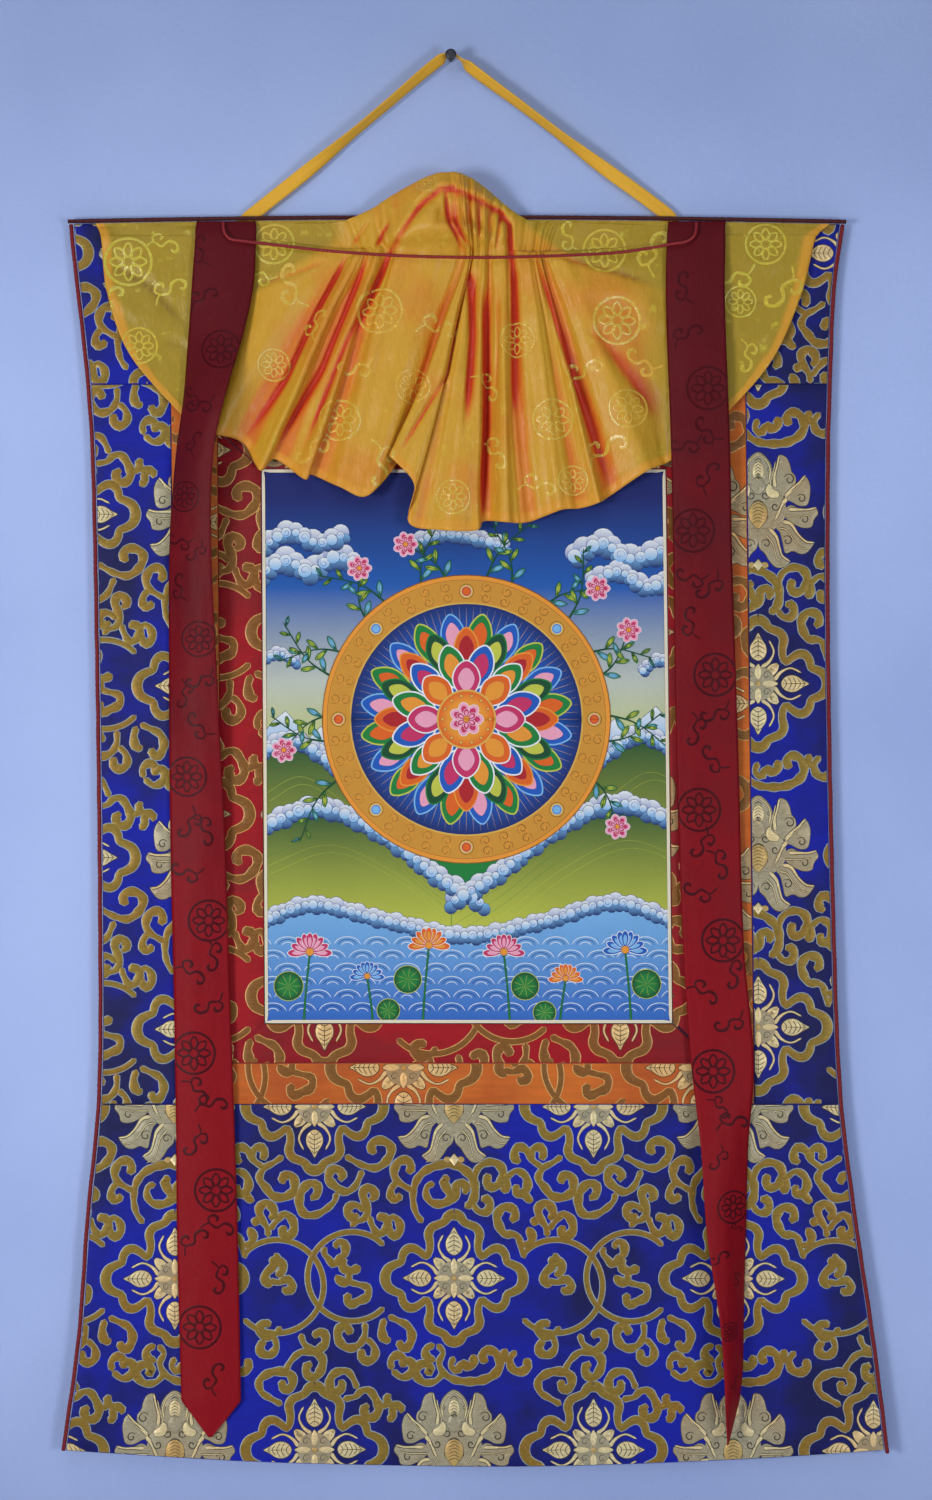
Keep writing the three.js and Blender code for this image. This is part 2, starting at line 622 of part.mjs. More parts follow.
/** A point of the tape: across its width, and along it from the left end to the right one. */
function onTape(across, along) {
  const centre = tapePath.getPointAt(along);
  const heading = tapePath.getTangentAt(along);
  const flat = new THREE.Vector3(heading.z, 0, -heading.x).normalize();
  const fromNail = Math.abs(along - 0.5) * 2;
  const turn = TAPE_LEG_TURN * (1 - THREE.MathUtils.smoothstep(fromNail, 0.4, 0.8))
    + TAPE_MIDDLE_TURN * (1 - Math.min(Math.abs(fromNail - 0.4) / 0.3, 1) ** 2)
    + TAPE_NAIL_TURN * (1 - THREE.MathUtils.smoothstep(fromNail, 0.024, 0.06));
  const side = flat.multiplyScalar(Math.cos(turn)).add(new THREE.Vector3(0, Math.sin(turn), 0));
  return centre.addScaledVector(side, (0.5 - across) * TAPE_WIDE);
}

/** Place along the tape for a share of its rows, which lie closer together near the nail. */
function tapeRow(share) {
  const fromNail = 2 * share - 1;
  return 0.5 + (Math.sign(fromNail) * Math.abs(fromNail) ** TAPE_ROW_SPREAD) / 2;
}
addPiece('hanging_tape', sheetGeometry(1, TAPE_ROWS, (across, down) => onTape(across, tapeRow(down)),
  () => TAPE_THICK), TAPE_CLOTH);

// The wall nail: a turned profile from the root on the wall to the head
const nailProfile = [
  [0, 0],
  [NAIL_RADIUS, 0],
  [NAIL_RADIUS, NAIL_LENGTH - NAIL_HEAD_THICK - 1],
  [NAIL_HEAD_RADIUS - 0.6, NAIL_LENGTH - NAIL_HEAD_THICK],
  [NAIL_HEAD_RADIUS, NAIL_LENGTH - NAIL_HEAD_THICK / 2],
  [NAIL_HEAD_RADIUS - 1.2, NAIL_LENGTH],
  [0, NAIL_LENGTH + 0.4],
].map(([radius, out]) => new THREE.Vector2(radius, out));
const nail = new THREE.LatheGeometry(nailProfile, 16);
nail.rotateX(Math.PI);
addPiece('wall_nail', nail, NAIL_STEEL);

export default group;
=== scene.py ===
"""Looks of a thangka scroll painting: a painted canvas in two brocade borders on a flared brocade mount,
with a gathered silk veil, two silk ribbons, a tie cord and a hanging tape over a wall nail."""
from __future__ import annotations

import logging
import math
from abc import ABC, abstractmethod
from dataclasses import dataclass
from enum import Enum
from functools import lru_cache
from typing import Callable, Sequence

import bmesh
import bpy
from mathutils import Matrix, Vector
from mathutils.bvhtree import BVHTree
from mathutils.noise import noise as smooth_noise

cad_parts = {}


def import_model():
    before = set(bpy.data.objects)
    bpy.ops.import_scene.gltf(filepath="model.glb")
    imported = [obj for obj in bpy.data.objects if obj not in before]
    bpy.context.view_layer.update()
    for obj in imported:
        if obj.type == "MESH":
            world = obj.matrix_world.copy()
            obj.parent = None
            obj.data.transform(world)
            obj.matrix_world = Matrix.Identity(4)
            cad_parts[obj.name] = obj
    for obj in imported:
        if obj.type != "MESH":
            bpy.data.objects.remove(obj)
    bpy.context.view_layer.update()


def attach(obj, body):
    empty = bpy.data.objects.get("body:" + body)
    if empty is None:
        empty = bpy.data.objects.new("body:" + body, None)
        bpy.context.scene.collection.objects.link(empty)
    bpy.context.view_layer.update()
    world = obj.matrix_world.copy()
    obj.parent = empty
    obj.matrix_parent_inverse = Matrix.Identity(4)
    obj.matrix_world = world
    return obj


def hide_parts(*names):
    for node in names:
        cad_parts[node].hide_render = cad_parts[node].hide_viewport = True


log = logging.getLogger("thangka")

MM = 0.001
SEAM_GAP = 0.3
SLICE_PITCH = 12
CORD_STEPS = 90
SWELL_PITCH = 13
Colour = tuple[float, float, float]
Point = tuple[float, float]
Point3 = tuple[float, float, float]
Place = Callable[[float, float], Vector]


def metres(x: float, out: float, z: float) -> Vector:
    """A point given in millimetres across, out from the wall and up, in metres."""
    return Vector((x * MM, -out * MM, z * MM))


@lru_cache(maxsize=None)
def srgb(red: int, green: int, blue: int) -> Colour:
    """The linear colour of a screen colour given in 0 to 255."""
    shares = (value / 255 for value in (red, green, blue))
    return tuple(share / 12.92 if share <= 0.04045 else ((share + 0.055) / 1.055) ** 2.4 for share in shares)


def clamp(value: float, low: float = 0.0, high: float = 1.0) -> float:
    """The value, kept between two limits."""
    return max(low, min(high, value))


def lerp(start: float, end: float, share: float) -> float:
    """The value a share of the way from one to another."""
    return start + (end - start) * share


def smoothstep(value: float, low: float, high: float) -> float:
    """0 under the low limit, 1 over the high one, and a smooth rise between them."""
    share = clamp((value - low) / (high - low))
    return share * share * (3 - 2 * share)


def blend_weights(share: float) -> tuple[float, float, float, float]:
    """How much the start, the end and the slopes at both count in a smooth blend."""
    square = share * share
    cube = square * share
    return 2 * cube - 3 * square + 1, 3 * square - 2 * cube, cube - 2 * square + share, cube - square


def hermite(before: float, start: float, end: float, after: float, share: float) -> float:
    """A smooth blend of four even steps, from the second to the third."""
    at_start, at_end, leaving, arriving = blend_weights(share)
    return start * at_start + (end - before) / 2 * leaving + end * at_end + (after - start) / 2 * arriving


def blend_colours(first: Colour, second: Colour, share: float) -> Colour:
    """The colour a share of the way from one to another."""
    return tuple(lerp(a, b, share) for a, b in zip(first, second))


def polar(centre: Point, reach: float, angle: float) -> Point:
    """The point at a distance from a centre, at an angle in radians."""
    return centre[0] + reach * math.cos(angle), centre[1] + reach * math.sin(angle)


def slanted(upper: Point, lower: Point, shift: float) -> Callable[[float], float]:
    """A line from an upper point to a lower one, moved across, as a function of the height."""
    return lambda z: upper[0] + (lower[0] - upper[0]) * (z - upper[1]) / (lower[1] - upper[1]) + shift


def sloping(first: Point, last: Point, shift: float) -> Callable[[float], float]:
    """A line from a left point to a right one, moved up, as a function of the place across."""
    return lambda x: first[1] + (last[1] - first[1]) * (x - first[0]) / (last[0] - first[0]) + shift


class Side(Enum):
    """A side of the hanging or of a border."""

    TOP = "top"
    BOTTOM = "bottom"
    LEFT = "left"
    RIGHT = "right"


@dataclass(frozen=True)
class Table:
    """Rows of numbers under named columns, the first of which is the place along the piece."""

    columns: tuple[str, ...]
    rows: tuple[tuple[float, ...], ...]

    def read(self, name: str, place: float) -> float:
        """A smooth value between the rows.

        Args:
            name: the column.
            place: where, along the first column.

        Returns:
            The column's value there.
        """
        column = self.columns.index(name)
        last = len(self.rows) - 1
        falling = self.rows[last][0] < self.rows[0][0]
        row = 0
        while row < last - 1 and (place != self.rows[row + 1][0]
                                  and (place < self.rows[row + 1][0]) == falling):
            row += 1
        before, start = self.rows[max(row - 1, 0)], self.rows[row]
        end, after = self.rows[row + 1], self.rows[min(row + 2, last)]
        span = end[0] - start[0]
        straight = (end[column] - start[column]) / span
        first = straight if row == 0 else (end[column] - before[column]) / (end[0] - before[0])
        final = straight if row + 1 == last else (after[column] - start[column]) / (after[0] - start[0])
        at_start, at_end, leaving, arriving = blend_weights(clamp((place - start[0]) / span))
        return start[column] * at_start + end[column] * at_end + span * (first * leaving + final * arriving)


class Curve:
    """A smooth curve through points, read by its share of length."""

    def __init__(self, points: Sequence[Sequence[float]], closed: bool = False, fine: int = 10) -> None:
        """Samples the curve.

        Args:
            points: the points that it passes through.
            closed: whether it returns to its first point.
            fine: samples between two points.
        """
        knots = [Vector(point) for point in points]
        count = len(knots)
        spans = count if closed else count - 1

        def pick(index: int) -> Vector:
            """A knot; past an open end the last step is repeated."""
            if closed:
                return knots[index % count]
            if index < 0:
                return knots[0] * 2 - knots[1]
            return knots[-1] * 2 - knots[-2] if index >= count else knots[index]

        self.samples: list[Vector] = []
        for span in range(spans):
            before, start, end, after = (pick(span + shift) for shift in (-1, 0, 1, 2))
            steps = ((before, start), (start, end), (end, after))
            gaps = [max((b - a).length, 1e-6) ** 0.5 for a, b in steps]
            along = (end - start) / gaps[1]
            first = (start - before) / gaps[0] - (end - before) / (gaps[0] + gaps[1]) + along
            last = along - (after - start) / (gaps[1] + gaps[2]) + (after - end) / gaps[2]
            for step in range(fine):
                at_start, at_end, leaving, arriving = blend_weights(step / fine)
                self.samples.append(start * at_start + end * at_end
                                    + (first * leaving + last * arriving) * gaps[1])
        self.samples.append(pick(spans))
        self.lengths = [0.0]
        for start, end in zip(self.samples, self.samples[1:]):
            self.lengths.append(self.lengths[-1] + (end - start).length)

    @property
    def length(self) -> float:
        """The length along the curve."""
        return self.lengths[-1]

    def at(self, share: float) -> Vector:
        """The point at a share of the length."""
        wanted = clamp(share) * self.length
        low, high = 0, len(self.lengths) - 1
        while high - low > 1:
            middle = (low + high) // 2
            if self.lengths[middle] <= wanted:
                low = middle
            else:
                high = middle
        gap = self.lengths[high] - self.lengths[low]
        return self.samples[low].lerp(self.samples[high], (wanted - self.lengths[low]) / gap if gap else 0.0)

    def heading(self, share: float) -> Vector:
        """The direction at a share of the length."""
        step = 0.004
        return (self.at(min(1.0, share + step)) - self.at(max(0.0, share - step))).normalized()


class Sum:
    """A shader socket that takes part in Python sums; each sum adds its Math node."""

    def __init__(self, shader: Shader, socket: bpy.types.NodeSocket) -> None:
        """Holds the socket and the shader that it belongs to."""
        self.shader = shader
        self.socket = socket

    def _math(self, operation: str, *values: Sum | float) -> Sum:
        """The result of one Math node."""
        node = self.shader.node("ShaderNodeMath", {"operation": operation}, dict(enumerate(values)))
        return Sum(self.shader, node.outputs[0])

    def __add__(self, other: Sum | float) -> Sum:
        """This plus the other."""
        return self._math("ADD", self, other)

    __radd__ = __add__

    def __sub__(self, other: Sum | float) -> Sum:
        """This less the other."""
        return self._math("SUBTRACT", self, other)

    def __rsub__(self, other: float) -> Sum:
        """The other less this."""
        return self._math("SUBTRACT", other, self)

    def __mul__(self, other: Sum | float) -> Sum:
        """This times the other."""
        return self._math("MULTIPLY", self, other)

    __rmul__ = __mul__

    def wave(self) -> Sum:
        """The sine of this."""
        return self._math("SINE", self)

    def soft_step(self, low: float, high: float) -> Sum:
        """0 under the low limit, 1 over the high one, smooth between."""
        node = self.shader.node("ShaderNodeMapRange", {"interpolation_type": "SMOOTHSTEP"},
                                {"Value": self, "From Min": low, "From Max": high})
        return Sum(self.shader, node.outputs["Result"])


class Shader:
    """The node tree of one finish, round a Principled shader."""

    def __init__(self, name: str, colour: Colour, rough: float,
                 constants: dict[str, float] | None = None) -> None:
        """Starts a material.

        Args:
            name: its name.
            colour: its base colour.
            rough: its roughness.
            constants: other sockets of the shader that stay the same all over.
        """
        self.material = bpy.data.materials.new(name)
        self.material.use_nodes = True
        self.tree = self.material.node_tree
        self.tree.nodes.clear()
        values = {"Base Color": (*colour, 1), "Roughness": rough, **(constants or {})}
        self.surface = self.node("ShaderNodeBsdfPrincipled", {}, values)
        self.output = self.node("ShaderNodeOutputMaterial", {}, {"Surface": self.surface.outputs["BSDF"]})

    def node(self, kind: str, settings: dict[str, object], values: dict[str | int, object]) -> bpy.types.Node:
        """Adds a node.

        Args:
            kind: the node's type.
            settings: its own settings.
            values: a number, colour, socket or Sum for each named or numbered input.

        Returns:
            The node.
        """
        node = self.tree.nodes.new(kind)
        for key, value in settings.items():
            setattr(node, key, value)
        for key, value in values.items():
            self.feed(node, key, value)
        return node

    def feed(self, node: bpy.types.Node, key: str | int, value: object) -> None:
        """Links or sets one input of a node."""
        target = node.inputs[key]
        source = value.socket if isinstance(value, Sum) else value
        if isinstance(source, bpy.types.NodeSocket):
            self.tree.links.new(source, target)
        else:
            target.default_value = source

    def mix(self, factor: Sum | float, first: object, second: object,
            way: str = "MIX") -> bpy.types.NodeSocket:
        """A colour between two by a factor, or their product where the way is MULTIPLY."""
        node = self.node("ShaderNodeMix", {"data_type": "RGBA", "blend_type": way}, {0: factor})
        for key, value in ((6, first), (7, second)):
            self.feed(node, key, (*value, 1) if isinstance(value, tuple) and len(value) == 3 else value)
        return node.outputs[2]

    def shade(self, colour: object, factor: Sum) -> bpy.types.NodeSocket:
        """A colour times a grey factor."""
        node = self.node("ShaderNodeVectorMath", {"operation": "SCALE"}, {0: colour, "Scale": factor})
        return node.outputs[0]

    def painted(self, name: str) -> bpy.types.Node:
        """The attribute of that name."""
        return self.node("ShaderNodeAttribute", {"attribute_name": name}, {})

    def parts(self, colour: bpy.types.NodeSocket) -> list[Sum]:
        """The three channels of a colour."""
        node = self.node("ShaderNodeSeparateColor", {}, {0: colour})
        return [Sum(self, node.outputs[index]) for index in range(3)]

    def place(self) -> bpy.types.NodeSocket:
        """Object coordinates."""
        return self.node("ShaderNodeTexCoord", {}, {}).outputs["Object"]

    def noise(self, scale: float, detail: float = 2.0, stretch: Point3 = (1, 1, 1)) -> Sum:
        """Noise over object coordinates.

        Args:
            scale: how many lumps a metre holds.
            detail: how many finer layers it has.
            stretch: how much each axis is scaled first.

        Returns:
            Its value from 0 to 1.
        """
        mapping = self.node("ShaderNodeMapping", {}, {"Vector": self.place(), "Scale": stretch})
        node = self.node("ShaderNodeTexNoise", {}, {"Vector": mapping.outputs[0], "Scale": scale,
                                                    "Detail": detail})
        return Sum(self, node.outputs["Fac"])

    def weave(self, pitch: float) -> Sum:
        """Crossing threads over the piece's own flat map, at a pitch in metres."""
        flat = self.node("ShaderNodeUVMap", {"uv_map": "flat"}, {})
        turns = self.node("ShaderNodeVectorMath", {"operation": "SCALE"},
                          {0: flat.outputs[0], "Scale": 2 * math.pi / pitch})
        across = self.node("ShaderNodeSeparateXYZ", {}, {0: turns.outputs[0]})
        return Sum(self, across.outputs[0]).wave() * Sum(self, across.outputs[1]).wave()

    def raise_by(self, height: Sum, distance: float, strength: float = 1.0) -> None:
        """Bumps the surface by a height, scaled to a distance in metres."""
        bump = self.node("ShaderNodeBump", {}, {"Height": height, "Distance": distance, "Strength": strength})
        self.feed(self.surface, "Normal", bump.outputs[0])

    def use(self, **links: object) -> Shader:
        """Feeds the shader's sockets; an underscore stands for a space."""
        for key, value in links.items():
            self.feed(self.surface, key.replace("_", " "), value)
        return self


@dataclass(frozen=True)
class BrocadeGround:
    """Satin ground of a brocade, with painted sheen: brighter and deeper in wide patches where its sheen turns."""

    name: str
    bright: Colour
    deep: Colour

    def make(self) -> bpy.types.Material:
        """The material."""
        shader = Shader(self.name, self.bright, 0.5, {"Specular IOR Level": 0.22})
        # Painted sheen: wide patches of the ground shift between its bright and deep colours.
        painted_sheen = (shader.noise(7, 2, (1, 1, 0.7)) * 0.75 + shader.noise(31, 3) * 0.35).soft_step(0.4, 0.68)
        streak = shader.noise(260, 2, (0.12, 1, 1))
        colour = shader.mix(painted_sheen, self.deep, self.bright)
        shader.use(Base_Color=shader.shade(colour, 0.8 + streak * 0.4), Roughness=0.44 + painted_sheen * 0.16)
        shader.raise_by(shader.weave(0.0011) + streak, 0.00012, 0.5)
        return shader.material


@dataclass(frozen=True)
class WeftThread:
    """Gold and pale weft of the brocade's figures, coloured by the tint of each figure, with painted glints."""

    name: str
    shine: float = 0.45
    rough: float = 0.42
    cast: Colour = (1.0, 1.0, 1.0)
    satin: float = 0.4
    wear: Colour = (1.1, 0.82, 0.6)

    def make(self) -> bpy.types.Material:
        """The material."""
        shader = Shader(self.name, (0.3, 0.2, 0.05), self.rough, {"Specular IOR Level": self.satin})
        tint = shader.painted("tint")
        metal = Sum(shader, tint.outputs["Alpha"])
        threads = shader.noise(900, 1, (0.25, 1, 1))
        # Painted glints: small bright specks that lighten the thread's colour.
        painted_glints = shader.noise(380, 2).soft_step(0.6, 0.78)
        worn = shader.noise(11, 3).soft_step(0.42, 0.68) * 0.55
        dyed = shader.mix(1.0, tint.outputs["Color"], self.cast, "MULTIPLY")
        warm = shader.mix(worn, dyed, self.wear, "MULTIPLY")
        colour = shader.shade(warm, 0.62 + threads * 0.55 + painted_glints * 0.5)
        shader.use(Base_Color=colour, Metallic=metal * self.shine)
        shader.raise_by(threads, 0.00025, 0.8)
        return shader.material


@dataclass(frozen=True)
class CanvasPaint:
    """Matt mineral paint on primed canvas, coloured by tint."""

    name: str = "mineral_paint"

    def make(self) -> bpy.types.Material:
        """The material."""
        shader = Shader(self.name, (0.2, 0.3, 0.5), 0.72, {"Specular IOR Level": 0.35})
        tint = shader.painted("tint")
        grain = shader.noise(500, 3)
        cloudy = shader.noise(22, 3)
        shader.use(Base_Color=shader.shade(tint.outputs["Color"], 0.86 + grain * 0.14 + cloudy * 0.14))
        shader.raise_by(grain + shader.noise(1500, 1) * 0.6, 0.00015, 0.5)
        return shader.material


@dataclass(frozen=True)
class VeilSilk:
    """Thin gold silk: yellow on the crests and olive where it hangs flat, with painted shade in orange to red where
    folds are deep and olive-brown in folds of flat cloth, and painted glints.
    """

    name: str = "veil_silk"
    crest: Colour = srgb(210, 158, 44)
    # slope is a random warm tone on the crests and, with valley and trough, the colour of painted shade in folds;
    # gloss is the colour of painted glints.
    slope: Colour = srgb(216, 120, 36)
    valley: Colour = srgb(200, 58, 30)
    flat: Colour = srgb(160, 136, 32)
    trough: Colour = srgb(112, 82, 30)
    hem: Colour = srgb(226, 156, 44)
    gloss: Colour = srgb(216, 204, 74)

    def make(self) -> bpy.types.Material:
        """The material."""
        shader = Shader(self.name, self.crest, 0.4, {"Specular IOR Level": 0.35})
        deep, hem, flat = shader.parts(shader.painted("cloth").outputs["Color"])
        patchy = shader.noise(30, 3)
        warm = shader.noise(14, 2).soft_step(0.42, 0.68) * (1 - flat) * 0.5
        colour = shader.mix(warm, self.crest, self.slope)
        colour = shader.mix(flat * 0.9, colour, self.flat)
        # Painted glints: bright yellow-green specks of the gloss colour, more on flat cloth.
        painted_glints = shader.noise(90, 4).soft_step(0.6, 0.74) * (0.25 + flat * 0.3)
        colour = shader.mix(painted_glints, colour, self.gloss)
        # Painted shade: deep folds turn orange to red, or olive-brown where the cloth hangs flat.
        slope_shade = shader.mix(flat, self.slope, self.trough)
        valley_shade = shader.mix(flat, self.valley, self.trough)
        colour = shader.mix((deep + patchy * 0.3 - 0.15).soft_step(0.05, 0.6) * 0.8, colour, slope_shade)
        colour = shader.mix((deep + patchy * 0.3 - 0.15).soft_step(0.4, 0.95), colour, valley_shade)
        colour = shader.mix(hem * 0.7, colour, self.hem)
        threads = shader.noise(700, 1, (1, 1, 0.2))
        shader.use(Base_Color=shader.shade(colour, 0.9 + threads * 0.16), Roughness=0.44 - painted_glints * 0.3)
        shader.raise_by(threads * 0.25 + shader.noise(70, 3, (1, 1, 0.5)) * 3.0, 0.0011, 0.6)
        return shader.material


@dataclass(frozen=True)
class RibbonSilk:
    """Dark red silk damask, browner and duller near the top edge and brighter towards the point."""

    name: str = "ribbon_silk"
    upper: Colour = srgb(92, 12, 22)
    lower: Colour = srgb(140, 8, 22)

    def make(self) -> bpy.types.Material:
        """The material."""
        shader = Shader(self.name, self.lower, 0.5, {"Specular IOR Level": 0.14})
        down = Sum(shader, shader.painted("cloth").outputs["Fac"])
        patchy = shader.noise(16, 3)
        colour = shader.mix((down + patchy * 0.5 - 0.25).soft_step(0.05, 0.75), self.upper, self.lower)
        threads = shader.noise(650, 2, (1, 1, 0.3))
        shader.use(Base_Color=shader.shade(colour, 0.8 + threads * 0.36), Roughness=0.48 + patchy * 0.16)
        shader.raise_by(threads * 0.5 + shader.noise(45, 3) * 2.2, 0.0007, 0.55)
        return shader.material


@dataclass(frozen=True)
class PlainFinish:
    """A plain cloth, thread or metal with a fine grain."""

    name: str
    colour: Colour
    rough: float
    metal: float = 0.0
    grain: float = 900.0
    contrast: float = 0.4
    depth: float = 0.0002
    shine: float = 0.4

    def make(self) -> bpy.types.Material:
        """The material."""
        shader = Shader(self.name, self.colour, self.rough, {"Metallic": self.metal,
                                                             "Specular IOR Level": self.shine})
        grain = shader.noise(self.grain, 2)
        shader.use(Base_Color=shader.shade(self.colour, 1 - self.contrast / 2 + grain * self.contrast))
        shader.raise_by(grain, self.depth, 0.6)
        return shader.material


def woven_back(name: str, colour: Colour) -> bpy.types.Material:
    """The dull, coarse back of a brocade."""
    return PlainFinish(name, colour, 0.65, grain=240, contrast=0.7).make()


def add_object(name: str, data: bpy.types.ID) -> bpy.types.Object:
    """Puts a mesh, a light or a camera into the scene."""
    obj = bpy.data.objects.new(name, data)
    bpy.context.scene.collection.objects.link(obj)
    return obj


def mesh_data(name: str, mesh: bmesh.types.BMesh, material: bpy.types.Material) -> bpy.types.Mesh:
    """Turns a bmesh into mesh data with one material, and frees it."""
    data = bpy.data.meshes.new(name)
    mesh.to_mesh(data)
    mesh.free()
    data.materials.append(material)
    return data


def finish_object(name: str, mesh: bmesh.types.BMesh, material: bpy.types.Material) -> bpy.types.Object:
    """Turns a bmesh into a smoothly shaded piece of the hanging.

    Args:
        name: the object's name.
        mesh: its faces, which are freed.
        material: its finish.

    Returns:
        The object.
    """
    for face in mesh.faces:
        face.smooth = True
    data = mesh_data(name, mesh, material)
    obj = add_object(name, data)
    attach(obj, "root")
    log.info("%s: %d faces", name, len(data.polygons))
    return obj


def pour(source: bmesh.types.BMesh, into: bmesh.types.BMesh) -> None:
    """Adds a bmesh's faces to another, and frees it."""
    loose = bpy.data.meshes.new("loose")
    source.to_mesh(loose)
    source.free()
    into.from_mesh(loose)
    bpy.data.meshes.remove(loose)


def everything(mesh: bmesh.types.BMesh) -> list[bmesh.types.BMVert | bmesh.types.BMEdge | bmesh.types.BMFace]:
    """All verts, edges and faces of a bmesh."""
    return mesh.verts[:] + mesh.edges[:] + mesh.faces[:]


def map_flat(mesh: bmesh.types.BMesh) -> None:
    """Gives a bmesh a flat map in metres, as it is seen from the front."""
    flat = mesh.loops.layers.uv.new("flat")
    for face in mesh.faces:
        for loop in face.loops:
            loop[flat].uv = (loop.vert.co.x, loop.vert.co.z)


def close_up(mesh: bmesh.types.BMesh) -> None:
    """Merges the seam of a rolled or turned mesh, fills its ends and points its faces outwards."""
    bmesh.ops.remove_doubles(mesh, verts=mesh.verts[:], dist=0.01 * MM)
    bmesh.ops.holes_fill(mesh, edges=[edge for edge in mesh.edges if edge.is_boundary], sides=0)
    bmesh.ops.recalc_face_normals(mesh, faces=mesh.faces[:])


def bent_grid(columns: int, rows: int, place: Place) -> bmesh.types.BMesh:
    """A grid bent onto a surface, with a flat map in metres.

    Args:
        columns: faces across.
        rows: faces down.
        place: the point for a share across and a share down.

    Returns:
        The bmesh, facing forwards where across runs right and down runs down.
    """
    mesh = bmesh.new()
    bmesh.ops.create_grid(mesh, x_segments=columns, y_segments=rows, size=0.5)
    for vert in mesh.verts:
        vert.co = place(vert.co.x + 0.5, 0.5 - vert.co.y)
    map_flat(mesh)
    mesh.normal_update()
    return mesh


def thicken(obj: bpy.types.Object, thick: float, round_edge: float = 0.0,
            back: bpy.types.Material | None = None) -> None:
    """Gives a sheet its thickness on both sides of its middle.

    Args:
        obj: the sheet, which faces forwards.
        thick: its thickness, in millimetres.
        round_edge: how wide its edges are rounded, in millimetres.
        back: the finish of its back, if that differs.
    """
    solid = obj.modifiers.new("thickness", "SOLIDIFY")
    solid.thickness = thick * MM
    solid.offset = 0
    if back:
        obj.data.materials.append(back)
        solid.material_offset = 1
    if round_edge:
        bevel = obj.modifiers.new("edges", "BEVEL")
        bevel.width = round_edge * MM
        bevel.segments = 2
        bevel.limit_method = "ANGLE"
        bevel.angle_limit = math.radians(50)


@dataclass
class MountShape:
    """The soft surface that the whole mount hangs on, and its outline."""

    top_z: float = -147
    top_sag: float = 4
    top_half: float = 350
    bottom_z: float = -1278
    bottom_rise: float = 17
    bottom_low_x: float = 20
    bottom_half: float = 374
    middle_out: float = 8
    curl: float = 7
    curl_reach: float = 130
    edge: float = 4.5
    outline: Table = Table(("z", "left", "right"), (
        (-147, -347, 358), (-180, -344, 353), (-214, -340, 349), (-287, -332, 346), (-360, -327, 344),
        (-541, -323, 344), (-796, -320, 349), (-942, -321, 355), (-1051, -331, 368), (-1160, -339, 384),
        (-1264, -353, 397)))
    waves: Table = Table(("pitch", "crest", "height", "at_top"), ((610, -330, 1.4, 0.1), (255, 60, 0.9, 0)))

    def side(self, side: Side, z: float) -> float:
        """The outer edge on the left or right side at a height."""
        return _outline(self.outline, side.value, round(z, 1))

    def left(self, z: float) -> float:
        """The cloth's left edge, inside its piping."""
        return self.side(Side.LEFT, z) + self.edge

    def right(self, z: float) -> float:
        """The cloth's right edge, inside its piping."""
        return self.side(Side.RIGHT, z) - self.edge

    def top(self, x: float) -> float:
        """The cloth's top edge, under its piping."""
        return self.top_z - self.top_sag * (x / self.top_half) ** 2

    def bottom(self, x: float) -> float:
        """The cloth's bottom edge, which bows down."""
        return self.bottom_z + self.bottom_rise * ((x - self.bottom_low_x) / self.bottom_half) ** 2

    def out(self, x: float, z: float) -> float:
        """How far the middle of the cloth stands off the wall."""
        down = clamp((z - self.top_z) / (self.bottom_z - self.top_z))
        total = self.middle_out
        for pitch, crest, height, at_top in self.waves.rows:
            total += height * (at_top + (1 - at_top) * down) * math.cos(2 * math.pi * (x - crest) / pitch)
        near = max(0.0, 1 - min(x - self.side(Side.LEFT, z), self.side(Side.RIGHT, z) - x) / self.curl_reach)
        return total + self.curl * near * near * down ** 3

    def point(self, x: float, z: float, rise: float = 0.0) -> Vector:
        """A point over the cloth's middle, in metres."""
        return metres(x, self.out(x, z) + rise, z)


@lru_cache(maxsize=None)
def _outline(outline: Table, name: str, z: float) -> float:
    """The outline at a height, kept once it is worked out."""
    return outline.read(name, z)


@dataclass
class Patch:
    """One four-sided piece of the flat mount: its edges as functions in millimetres."""

    name: str
    left: Callable[[float], float]
    right: Callable[[float], float]
    top: Callable[[float], float]
    bottom: Callable[[float], float]

    @classmethod
    def framed(cls, name: str, top_left: Point, top_right: Point, low_left: Point, low_right: Point) -> Patch:
        """A piece between four corners, inside their lines by half a seam's gap."""
        half = SEAM_GAP / 2
        return cls(name, slanted(top_left, low_left, half), slanted(top_right, low_right, -half),
                   sloping(top_left, top_right, -half), sloping(low_left, low_right, half))

    def spot(self, across: float, down: float) -> Point:
        """The place on the mount for a share across and a share down."""
        z = lerp(self.top(0), self.bottom(0), down)
        x = 0.0
        for _ in range(4):
            x = lerp(self.left(z), self.right(z), across)
            z = lerp(self.top(x), self.bottom(x), down)
        return x, z

    def trim(self, mesh: bmesh.types.BMesh, margin: float) -> None:
        """Cuts flat figures off at the piece's edges.

        Args:
            mesh: figures with x and z in millimetres.
            margin: how far inside the edges they end.
        """
        cuts = (
            (0, 1, lambda co: self.left(co.z) + margin), (0, -1, lambda co: self.right(co.z) - margin),
            (2, -1, lambda co: self.top(co.x) - margin), (2, 1, lambda co: self.bottom(co.x) + margin),
        )
        for axis, keep, edge in cuts:
            shifts = [edge(vert.co) for vert in mesh.verts]
            for vert, shift in zip(mesh.verts, shifts):
                vert.co[axis] -= shift
            normal = Vector((keep if axis == 0 else 0, 0, keep if axis == 2 else 0))
            bmesh.ops.bisect_plane(mesh, geom=everything(mesh), plane_co=(0, 0, 0), plane_no=normal,
                                   clear_inner=True)
            for vert in mesh.verts:
                co = vert.co.copy()
                for _ in range(3):
                    other = co.copy()
                    co[axis] = vert.co[axis] + edge(other)
                vert.co = co


